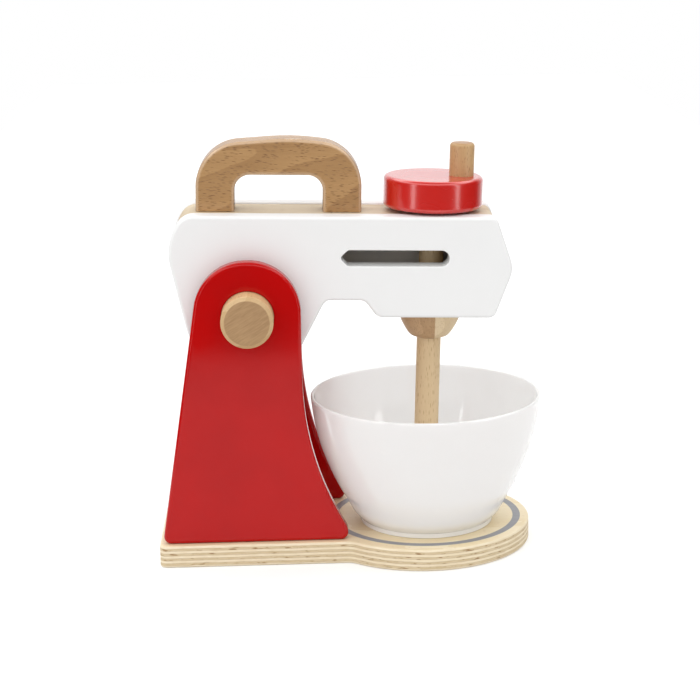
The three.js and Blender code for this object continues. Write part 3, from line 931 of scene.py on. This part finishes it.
neck_y = base_half + neck_round
neck_x = -lobe_setback - math.sqrt((lobe_radius + neck_round) ** 2 - neck_y**2)
neck_lean = math.atan2(neck_y, -lobe_setback - neck_x)
corner = (base_corner - base_tail, base_half - base_corner)
rear_side = arc((neck_x, neck_y), neck_round, -neck_lean, -quarter)
rear_side += arc(corner, base_corner, quarter, math.pi)
front_side = [Vector((p.x, -p.y)) for p in reversed(rear_side)]
lobe_turn = math.pi - neck_lean
lobe = arc((-lobe_setback, 0), lobe_radius, -lobe_turn, lobe_turn, step_turn / 2)[1:-1]
base_holes = [(circle(spot, pilot_radius, 48), screw_hole) for spot in screw_spots]
base_mesh = board_mesh(
    "base_plate", front_side + lobe + rear_side, base_thick, 1.5 * mm, base_holes,
)
finished("base", base_mesh, stand_place, "stand", "base_plate", plywood, (0, 0, 1))

# %% [markdown]
# ## Four screws from one tree
#
# The same countersunk screw comes up through the base four times. One node tree turns its body,
# cuts the cross recess with two bars, and instances it on four points. A driver never stops at
# the same angle twice, so each is turned by its own amount from a fixed seed. The instances are
# made real at the end, because the exported model keeps only real meshes.

# %% Screw set
screw_length = 34 * mm
screw_radius = 2 * mm
screw_head = 4 * mm
screw_head_depth = 2.6 * mm
screw_tip = 4 * mm
screw_recess = 1.8 * mm
screw_bar = 1.1 * mm


def screw_tree():
    """Screws on the points of a mesh, with a cross recess in each head."""
    tree, given, result = new_tree("Screw set", "GeometryNodeTree", {
        "Geometry": ["Spots"], "Object": ["Shank"], "Float": ["Bar length", "Bar width", "Recess"],
        "Int": ["Seed"], "Material": ["Finish"],
    }, {"Geometry": ["Geometry"]})
    shank = build(tree, "GeometryNodeObjectInfo", {"Object": given["Shank"]})["Geometry"]
    depth = given["Recess"] * 2.0
    cut = build(tree, "GeometryNodeMeshBoolean", {"Mesh 1": shank},
                operation="DIFFERENCE", solver="EXACT")
    for x, y in (("Bar length", "Bar width"), ("Bar width", "Bar length")):
        sides = build(tree, "ShaderNodeCombineXYZ", {"X": given[x], "Y": given[y], "Z": depth})
        fill(cut.node, {"Mesh 2": build(tree, "GeometryNodeMeshCube", {"Size": sides})["Mesh"]})
    angle = build(tree, "FunctionNodeRandomValue", {2: 0.0, 3: math.pi, "Seed": given["Seed"]},
                  data_type="FLOAT")[1]
    set_out = build(tree, "GeometryNodeInstanceOnPoints", {
        "Points": given["Spots"], "Instance": cut["Mesh"],
        "Rotation": build(tree, "ShaderNodeCombineXYZ", {"Z": angle}),
    })
    end_tree(result, set_out, given["Finish"])
    return tree


screw_profile = soft_profile([
    (0, 0, 0), (screw_head, 0, 0.15 * mm), (screw_radius, screw_head_depth, 0.4 * mm),
    (screw_radius, screw_length - screw_tip, 0.5 * mm), (0, screw_length, 0),
])
shank = in_scene("shank", turned_mesh("shank", screw_profile, 32))
spots = bpy.data.meshes.new("screw_spots")
spots.from_pydata([(x, y, 0.3 * mm) for x, y in screw_spots], [], [])
screws = run_tree("base_screws", spots, screw_tree(), {
    "Shank": shank, "Bar length": 2 * (screw_head - screw_bar), "Bar width": screw_bar,
    "Recess": screw_recess, "Seed": 4, "Finish": screw_steel,
})
bpy.data.objects.remove(shank)
screw_nodes = [name for name in frame["nodes"] if name.startswith("base_screw")]
finished("base_screws", screws, stand_place, "stand", screw_nodes, screw_steel)

# %% [markdown]
# ## The two uprights
#
# Each upright is one board: a round top about the pivot, a straight tail side, and a nose side
# that sweeps out to the foot in one large radius. The edges are routed round. It is drawn flat
# and then stood up, so that the two boards are one outline in two places. The pilot holes for
# the screws do not open here: a cutter from the turning tree comes out inside out, and the exact
# solver then takes nothing off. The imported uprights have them.

# %% Uprights
foot_lip = 7.4 * mm
flare_rise = 57 * mm
waist_nose = 34.6 * mm
shoulder_tail = 30 * mm
upright_top = pivot.z + 35.9 * mm
pivot_radius = 17 * mm
upright_round = 2.6 * mm
glue_gap = 0.3 * mm
run_gap = 0.3 * mm


def standing(near, thickness):
    """The place of a board drawn flat and stood up, with its near face at a place on Y."""
    return Matrix.Translation((0, near + thickness, 0)) @ Matrix.Rotation(quarter, 4, "X")


def rod(radius, low, high, place, sides=64):
    """A plain round cutter; its faces look inwards, so `cut_by` takes nothing off with it."""
    cutter = turned_mesh("rod", [(0, low), (radius, low), (radius, high), (0, high)], sides)
    cutter.transform(place)
    return cutter


upright_outline = rounded_outline([
    (pivot.x - foot_tail, base_thick, 5 * mm),
    (pivot.x + foot_nose, base_thick, 5 * mm),
    (pivot.x + foot_nose, base_thick + foot_lip, 9 * mm),
    (pivot.x + waist_nose, base_thick + flare_rise, 200 * mm),
    (pivot.x + waist_nose, upright_top, 34 * mm),
    (pivot.x - shoulder_tail, upright_top, 34 * mm),
], step_turn / 2)
for name, near in (("front_upright", -upright_outer), ("rear_upright", upright_inner)):
    bore = [(circle((pivot.x, pivot.z), pivot_radius + glue_gap), 0.25 * mm)]
    board = board_mesh(name, upright_outline, upright_thick, upright_round, bore)
    board.transform(standing(near, upright_thick))
    pilots = [
        rod(pilot_radius, 0, screw_length + 2 * glue_gap, Matrix.Translation((x, y, 0)), 32)
        for x, y in screw_spots if near < y < near + upright_thick
    ]
    board = cut_by(board, pilots)
    finished(name + "_board", board, stand_place, "stand", name, red_paint)

# %% [markdown]
# ## The rest block
#
# Something has to hold the head up when it is down: a red block between the uprights, under the
# tail. It is a plain stick with its four long edges eased, so it is drawn as the section of a
# board and stood between the uprights.

# %% Rest block
rest_half = 20 * mm
rest_round = 1.5 * mm
rest_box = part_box("rest_block")
rest_low, rest_high = rest_box[0].z, rest_box[1].z
rest_width = rest_box[1].y - rest_box[0].y
rest_outline = rounded_outline([
    (pivot.x - rest_half, rest_low, rest_round), (pivot.x + rest_half, rest_low, rest_round),
    (pivot.x + rest_half, rest_high, rest_round), (pivot.x - rest_half, rest_high, rest_round),
])
rest_mesh = board_mesh("rest_block", rest_outline, rest_width, 0.3 * mm)
rest_place = standing(-rest_width / 2, rest_width)
finished("rest_stick", rest_mesh, rest_place, "stand", "rest_block", red_paint)

# %% [markdown]
# ## The pivot dowel and its washers
#
# A thick dowel passes through both uprights and the head, and its chamfered ends stand out. It
# is the first use of the turning tree: a profile of a few corners, each with a small rounding,
# laid along Y. Two nylon washers keep the painted boards off the uprights.

# %% Pivot dowel and washers
lying = Matrix.Rotation(-quarter, 4, "X")
across = Matrix.Translation((pivot.x, 0, pivot.z)) @ lying
dowel_end = upright_outer + 17.5 * mm
chamfer = 2.4 * mm
dowel_round = 0.8 * mm
dowel_profile = soft_profile([
    (0, -dowel_end, 0), (pivot_radius - chamfer, -dowel_end, dowel_round),
    (pivot_radius, chamfer - dowel_end, dowel_round),
    (pivot_radius, dowel_end - chamfer, dowel_round),
    (pivot_radius - chamfer, dowel_end, dowel_round), (0, dowel_end, 0),
])
turned("tilt_dowel", "pivot_dowel", dowel_profile, across, "stand", dowel_wood,
       grain=(0, 0, 1))

head_half = 35 * mm
washer_thick = 1.9 * mm
washer_round = 0.3 * mm


def ring_profile(inner, band, low, high):
    """The profile of a flat ring, closed on itself in the middle of its inner wall."""
    start = (inner, (low + high) / 2, 0)
    corners = [(inner, low), (inner + band, low), (inner + band, high), (inner, high)]
    return soft_profile([start, *[(*spot, washer_round) for spot in corners], start])


for side, name in ((-1, "front"), (1, "rear")):
    middle = side * (head_half + glue_gap + washer_thick / 2)
    low, high = middle - washer_thick / 2, middle + washer_thick / 2
    flat_ring = ring_profile(pivot_radius + run_gap, 8 * mm, low, high)
    turned("tilt_washer_" + name, "pivot_washer_" + name, flat_ring, across,
           "stand", washer_nylon)

# %% [markdown]
# ## The head's two boards
#
# The head is a sandwich: two white boards with a wooden core between them. Its outline has ten
# corners, each with its own radius. The front board alone has a slot with a pointed end, through
# which one sees the shaft turn, and its edge is rounded like the rest. The slot's outline is a
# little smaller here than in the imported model, by the hair that its rounded edge gives back.

# %% Head boards
board_thick = 15 * mm
board_round = 2 * mm
corner_round = 5.6 * mm
head_top = 63.5 * mm
head_nose = 173.6 * mm
head_back = 53.9 * mm
tail_radius = 42 * mm
head_belly = 3.3 * mm
step_rise = 8.2 * mm

head_outline = rounded_outline([
    (-0.786 * tail_radius, -tail_radius, tail_radius),
    (0.61 * tail_radius, -tail_radius, 1.8 * corner_round),
    (0.2915 * head_nose, step_rise, 1.1 * corner_round),
    (0.44 * head_nose, step_rise, 1.35 * corner_round),
    (0.488 * head_nose, -head_belly, 1.5 * corner_round),
    (0.9315 * head_nose, -head_belly, corner_round),
    (head_nose, 0.463 * head_top, 3.2 * corner_round),
    (0.931 * head_nose, head_top, corner_round),
    (-0.785 * head_back, head_top, 2.3 * corner_round),
    (-head_back, 0.7 * head_top, 6.4 * corner_round),
])
slot_start = 59.7 * mm
slot_end = slot_start + 71.5 * mm
slot_floor = 31 * mm
slot_height = 10.6 * mm
slot_shoulder = slot_start + slot_height / 2
slot_outline = rounded_outline([
    (slot_start, slot_floor + slot_height / 2, 2.2 * mm),
    (slot_shoulder, slot_floor, 0.28 * slot_height),
    (slot_end, slot_floor, 0.49 * slot_height),
    (slot_end, slot_floor + slot_height, 0.49 * slot_height),
    (slot_shoulder, slot_floor + slot_height, 0.28 * slot_height),
], step_turn * 2)
head_bore = (circle((0, 0), pivot_radius + run_gap), 0.3 * mm)
slot_hole = (slot_outline, soft_edge(board_thick, 0.7 * mm))
for side, near, holes in (
    ("front", -head_half, [head_bore, slot_hole]),
    ("rear", head_half - board_thick, [head_bore]),
):
    node = f"head_{side}_board"
    board = board_mesh(node, head_outline, board_thick, board_round, holes)
    place = head_place @ standing(near, board_thick)
    finished(f"head_{side}_side", board, place, "head", node, white_paint)

# %% [markdown]
# ## The core of the head
#
# The core is four pieces of pale wood around a hollow, a millimetre below the edges of the boards.
# All four come from one blank: the head's outline moved in and cut by planes where one piece ends
# and the next begins. The bores for the dowel, the shaft and the handle's dowels do not open
# here, for the same reason as the pilot holes, so the dowel and the shaft run through solid wood.
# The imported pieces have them.

# %% Core pieces
core_recess = 1 * mm
core_half = 20 * mm - glue_gap
core_top = head_top - core_recess
core_outline = moved_in(head_outline, core_recess)
hollow_start = slot_start - 5 * mm
hollow_end = head_nose - 33 * mm
hollow_roof = core_top - 18 * mm
hollow_floor = step_rise + core_recess + 8.8 * mm
seam = glue_gap / 2
shaft_radius = 8.1 * mm
handle_start = -34.7 * mm
handle_end = handle_start + 109 * mm
handle_leg = 25.4 * mm
handle_dowels = [handle_start + handle_leg / 2, handle_end - handle_leg / 2]
dowel_bore_radius = 4.3 * mm
dowel_bore_depth = 13 * mm
through = 110 * mm


def core_piece(name, low_x, high_x, low_z, high_z, cutters):
    """A piece of the core between two places along the head and two heights; None leaves a side."""
    blank = board_mesh(name, core_outline, 2 * core_half, 0)
    blank.transform(standing(-core_half, 2 * core_half))
    for axis, low, high in ((0, low_x, high_x), (2, low_z, high_z)):
        way = Vector([float(i == axis) for i in range(3)])
        if low is not None:
            sliced(blank, way * low, -way)
        if high is not None:
            sliced(blank, way * high, way)
    blank = cut_by(blank, cutters)
    finished(name + "_wood", blank, head_place, "head", name, core_wood, (1, 0, 0))


def dowel_bore(x):
    """The blind bore for one of the handle's dowels."""
    low, high = core_top - dowel_bore_depth, core_top + dowel_bore_depth
    return rod(dowel_bore_radius, low, high, Matrix.Translation((x, 0, 0)))


crank_in_head = head_place.inverted() @ crank_place
pivot_bore = rod(pivot_radius + run_gap, -through, through, lying)
shaft_bore = rod(shaft_radius + run_gap, -through, through, crank_in_head)
tail_bores = [pivot_bore, dowel_bore(handle_dowels[0])]
top_bores = [shaft_bore, dowel_bore(handle_dowels[1])]
rail_start, rail_end = hollow_start + seam, hollow_end - seam
core_piece("core_tail_block", None, hollow_start - seam, None, None, tail_bores)
core_piece("core_top_rail", rail_start, rail_end, hollow_roof, None, top_bores)
core_piece("core_bottom_rail", rail_start, rail_end, None, hollow_floor, [shaft_bore])
core_piece("core_nose_block", hollow_end + seam, None, None, None, [])

# %% [markdown]
# ## The carrying handle
#
# The handle is an arch sawn from one beech board: a large radius outside, a small one inside, a
# slight crown along its top, and the edge rounded all the way. The legs are cut flat where they
# are glued down, so the arch is drawn a little too long and sliced. Two dowels, which nobody sees,
# fix it to the core. They stay as they were packed and only get their wood. Their bores in the
# legs do not open here either.

# %% Handle
handle_round = 2.6 * mm
handle_thick = 24 * mm
handle_top = 111.3 * mm
handle_shoulder = handle_top - 5.1 * mm
handle_crest = (handle_start + handle_end) / 2 + 8.2 * mm
handle_seat = core_top + glue_gap
arch_top = handle_top - 24.5 * mm
foot = handle_seat - 2 * handle_round
handle_outline = rounded_outline([
    (handle_start, foot, 0),
    (handle_start + handle_leg, foot, 0),
    (handle_start + handle_leg, arch_top, 10.3 * mm),
    (handle_end - handle_leg, arch_top, 10.3 * mm),
    (handle_end - handle_leg, foot, 0),
    (handle_end, foot, 0),
    (handle_end, handle_shoulder, 30 * mm),
    (handle_crest, handle_top, 160 * mm),
    (handle_start, handle_shoulder, 30 * mm),
])
handle_mesh = board_mesh("carry_handle", handle_outline, handle_thick, handle_round)
handle_mesh.transform(standing(-handle_thick / 2, handle_thick))
sliced(handle_mesh, Vector((0, 0, handle_seat)), Vector((0, 0, -1)))
handle_mesh = cut_by(handle_mesh, [dowel_bore(x) for x in handle_dowels])
finished("handle_arch", handle_mesh, head_place, "head", "carry_handle", handle_wood,
         grain=(1, 0, 0), flat=(0, 1, 0))
for name in ("handle_dowel_tail", "handle_dowel_nose"):
    dowel = frame["nodes"][name]
    dowel.data.materials.clear()
    dowel.data.materials.append(peg_wood)
print("handle rises", round(handle_top / mm, 1), "mm above the pivot")

# %% [markdown]
# ## The crank: knob, washer and peg
#
# The knob is a turned disc with well rounded edges under a red gloss. The real one is bored from
# above, off centre, for the beech peg that a child holds to turn it, and from below for the shaft.
# Here both bores stay closed, and the peg and the shaft end inside it. A nylon washer carries it
# on the core.

# %% Knob, washer and peg
knob_radius = 33 * mm
knob_round = 3 * mm
knob_base = head_top + 1.5 * mm
knob_top = knob_base + 21 * mm
knob_seat = 11 * mm
peg_radius = 8.2 * mm
off_centre = Matrix.Translation((18.6 * mm, 0, 0))


def plug_profile(radius, low, high, low_round, high_round):
    """The profile of a plain turned stick or disc with its two edges rounded."""
    edges = [(radius, low, low_round), (radius, high, high_round)]
    return soft_profile([(0, low, 0), *edges, (0, high, 0)])


knob_profile = plug_profile(knob_radius, knob_base, knob_top, knob_round, knob_round)
knob_mesh = cut_by(turned_mesh("crank_knob", knob_profile, 160), [
    rod(shaft_radius + glue_gap, knob_base - knob_seat, knob_base + knob_seat, stand_place),
    rod(peg_radius + glue_gap, knob_top - knob_seat, knob_top + knob_seat, off_centre),
])
finished("knob", knob_mesh, crank_place, "crank", "crank_knob", red_gloss)

washer_profile = ring_profile(
    shaft_radius + glue_gap, 6 * mm, core_top + glue_gap, knob_base - glue_gap,
)
turned("knob_ring", "knob_washer", washer_profile, crank_place,
       "crank", washer_nylon)

peg_low = knob_top - knob_seat + glue_gap
peg_profile = plug_profile(peg_radius, peg_low, knob_top + 21.9 * mm, 0.3 * mm, 2.4 * mm)
turned("peg", "crank_peg", peg_profile, crank_place @ off_centre, "crank", peg_wood,
       96, (0, 0, 1))

# %% [markdown]
# ## The mixing shaft and its collar
#
# The shaft is a dowel from the knob down into the bowl. The collar under the head is turned from
# two sticks glued side by side, which is why one half is paler than the other: the joint runs
# straight down its side.

# %% Shaft and collar
shaft_low = -128 * mm
shaft_high = knob_base + knob_seat - glue_gap
shaft_profile = plug_profile(shaft_radius, shaft_low, shaft_high, 1.6 * mm, 0.3 * mm)
turned("shaft", "mixer_shaft", shaft_profile, crank_place, "crank", shaft_wood,
       96, (0, 0, 1))


def smooth_line(points, steps):
    """A smooth open line through points, sampled evenly, as a spline curve does it."""
    line = []
    last = len(points) - 1
    for i in range(steps + 1):
        at = last * i / steps
        first = min(int(at), last - 1)
        t = at - first
        near = [Vector(points[max(0, min(last, first + k))]) for k in (-1, 0, 1, 2)]
        before, start, end, after = near
        pull, push = (end - before) / 2, (after - start) / 2
        line.append(
            (2 * t**3 - 3 * t**2 + 1) * start + (t**3 - 2 * t**2 + t) * pull
            + (3 * t**2 - 2 * t**3) * end + (t**3 - t**2) * push
        )
    return line


collar_radius = 21.5 * mm
collar_height = 19.7 * mm
collar_top = -head_belly - 0.6 * mm
collar_low = collar_top - collar_height
collar_shares = [
    (0.44, 0.02), (0.47, 0.032), (0.61, 0.1), (0.755, 0.315), (0.88, 0.574), (0.962, 0.82), (1, 1),
]
collar_side = smooth_line(
    [(x * collar_radius, collar_low + z * collar_height) for x, z in collar_shares], 36,
)
collar_inner = shaft_radius + glue_gap
collar_profile = [
    (collar_inner, collar_low), (collar_inner + guard, collar_low),
    *[tuple(p) for p in collar_side],
    (collar_radius - guard, collar_top), (collar_inner + guard, collar_top),
    (collar_inner, collar_top), (collar_inner, collar_low),
]
turned("collar", "shaft_collar", collar_profile, crank_place, "crank", collar_wood,
       grain=(0, 0, 1))

# %% [markdown]
# ## The bowl
#
# The bowl is a thin turned wall on a foot ring, with a full round rim. Its side is a smooth line
# through eight points, and the inner face is the same line moved in by the wall. The side meets
# the ring in a small crease. It is the main turned piece, so it comes from the same tree with
# more sides.

# %% Bowl
bowl_rim = 77.7 * mm
bowl_height = 88.9 * mm
bowl_wall = 2.4 * mm
bowl_foot = 45.3 * mm
bowl_foot_height = 3.6 * mm
foot_inner = bowl_foot - 5.3 * mm
foot_hollow = 2.6 * mm
foot_round = 0.8 * mm
rim_round = bowl_wall / 2
bowl_place = Matrix.Translation((0.6 * mm, -6.3 * mm, base_thick))
bowl_shares = [
    (0.585, 0), (0.646, 0.06), (0.703, 0.155), (0.787, 0.297),
    (0.865, 0.462), (0.935, 0.65), (0.978, 0.838), (1, 1),
]
side_height = bowl_height - bowl_foot_height - rim_round
outside = smooth_line(
    [(x * bowl_rim, bowl_foot_height + z * side_height) for x, z in bowl_shares], 70,
)


def line_moved_left(points, distance):
    """An open line moved to its left by a distance."""
    moved = []
    last = len(points) - 1
    for i, point in enumerate(points):
        along = (points[min(i + 1, last)] - points[max(i - 1, 0)]).normalized()
        moved.append(Vector((point.x - along.y * distance, point.y + along.x * distance)))
    return moved


bowl_floor = bowl_foot_height + bowl_wall
wall_low = bowl_floor + 1.5 * mm
inside = [p for p in reversed(line_moved_left(outside, bowl_wall)[1:-1]) if p.y > wall_low]
rim_centre = (bowl_rim - rim_round, bowl_height - rim_round)
rim = arc(rim_centre, rim_round, 0, math.pi, math.pi / 16)[1:]
foot_line = soft_profile([
    (0, foot_hollow, 0), (foot_inner, foot_hollow, foot_round), (foot_inner, 0, foot_round),
    (bowl_foot, 0, foot_round), (bowl_foot, bowl_foot_height, 0.4 * mm), (*outside[0], 0),
])
floor_bend = [(1.2 * mm, 0.5 * mm), (3 * mm, 0.1 * mm), (5 * mm, 0)]
bowl_profile = [
    *foot_line, *[tuple(p) for p in (*outside[1:], *rim, *inside)],
    *[(inside[-1].x - run, bowl_floor + rise) for run, rise in floor_bend], (0, bowl_floor),
]
turned("bowl_shell", "mixing_bowl", bowl_profile, bowl_place,
       "bowl", white_plastic, 192)

# %% [markdown]
# ## The floor
#
# The toy stands on pale paper that catches the shadow under the base. For the camera and for
# reflections the paper is lifted to white, but its light on the toy is that of a plain pale floor.
# It is only a little wider than the toy, because a wide one would be mirrored in the sides of the
# glossy knob and make them pale.

# %% Floor
floor_side = 0.62
floor_back = 3


def rays(tree):
    """Whether a ray comes from the camera, and whether gloss or glass sent it."""
    path = build(tree, "ShaderNodeLightPath")
    mirrored = path["Is Glossy Ray"].maths("MAXIMUM", path["Is Transmission Ray"])
    return path["Is Camera Ray"], mirrored


floor_mesh = bpy.data.meshes.new("floor")
floor_mesh.from_pydata([
    (-floor_side, -floor_side, 0), (floor_side, -floor_side, 0),
    (floor_side, floor_back, 0), (-floor_side, floor_back, 0),
], [], [(0, 1, 2, 3)])
floor = in_scene("floor", floor_mesh)
floor.location.z = -0.1 * mm
floor_finish, tree, shader = new_finish("floor")
tone = ranged(noise(own_place(tree), (40, 40, 40), 3.0))
seen, mirrored = rays(tree)
fill(shader, {
    "Base Color": mixed(tone, (0.72, 0.72, 0.72, 1), (0.7, 0.7, 0.7, 1)), "Roughness": 0.9,
    "Emission Strength": seen.maths("MAXIMUM", mirrored) * 0.33, "Emission Color": (1, 1, 1, 1),
})
floor_mesh.materials.append(floor_finish)
print("floor", [round(size, 2) for size in floor.dimensions], "m")

# %% [markdown]
# ## The surroundings
#
# A white tent lights the toy softly from above, a little from the front, and more from the left
# than from the right. Gloss shows more than that: a glossy face mirrors a white back wall, a
# bright strip of roof above the camera and dark sides. One light for both would be simpler, but
# then either the gloss is flat or the plain faces are uneven. So reflected rays get their own
# picture of the room, and the camera always sees plain white behind the toy.

# %% World
world = bpy.data.worlds.new("tent")
bpy.context.scene.world = world
world.use_nodes = True
tree = world.node_tree
tree.nodes.clear()
way = split(build(tree, "ShaderNodeTexCoord")["Generated"])
white_back = ranged(way["Y"], 0.45, 0.9, 0.02, 1.0)
roof_edge = ranged(way["Z"], 0.5, 0.66, 0.02, 3.0)
white_roof = roof_edge.maths("MINIMUM", ranged(way["Z"], 0.78, 0.92, 3.0, 0.25))
dark_room = white_back.maths("MAXIMUM", white_roof)
overhead = way["Z"].maths("MAXIMUM")
ahead = (way["Y"] * -1.0).maths("MAXIMUM")
beside = ranged(way["X"], -1.0, 1.0, 0.75, 0.35)
soft = overhead * 1.1 + ahead * 0.28 + beside
seen, mirrored = rays(tree)
level = (mirrored * (dark_room - soft) + soft).maths("MAXIMUM", seen)
back = build(tree, "ShaderNodeBackground", {"Color": (1, 1, 1, 1), "Strength": level})
build(tree, "ShaderNodeOutputWorld", {"Surface": back})
print("world nodes", len(tree.nodes))

# %% [markdown]
# ## Two tall lamps
#
# Two tall soft lamps stand on each side of the camera. They draw the streaks on the knob and the
# thin lines where edges begin to round. The tent already gives the plain light, so the lamps are
# seen only in gloss.

# %% Lights
lamp_height = 0.5
for name, x, y in (("left_light", -1.165, -1.0), ("right_light", 1.18, -0.86)):
    lamp = bpy.data.lights.new(name, "AREA")
    lamp.shape = "RECTANGLE"
    lamp.size = 0.25
    lamp.size_y = 1.2
    lamp.energy = 3.8
    light = in_scene(name, lamp)
    spot = Vector((x, y, lamp_height))
    turn = (Vector((-0.05, 0, lamp_height)) - spot).to_track_quat("-Z", "Y").to_matrix().to_4x4()
    light.matrix_world = Matrix.Translation(spot) @ turn
    light.visible_camera = False
    light.visible_diffuse = False
bpy.context.scene.view_settings.view_transform = "Standard"
print("lights", [round(l.energy, 1) for l in bpy.data.lights])

# %% [markdown]
# ## Checking sizes
#
# The visual pieces have to fill the same places as the imported ones. The box of each piece is
# measured against that of the nodes that it stands for, which does not see bores or other inner
# shapes.

# %% Sizes
for piece in bpy.data.objects:
    if piece.get("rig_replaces"):
        spots = [vertex.co for vertex in piece.data.vertices]
        boxes = [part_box(node) for node in piece["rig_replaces"]]
        off = max(
            abs(pick(spot[axis] for spot in spots) - pick(box[side][axis] for box in boxes))
            for side, pick in ((0, min), (1, max)) for axis in range(3)
        )
        print(piece.name, "differs from its node by", round(off / mm, 2), "mm at most")
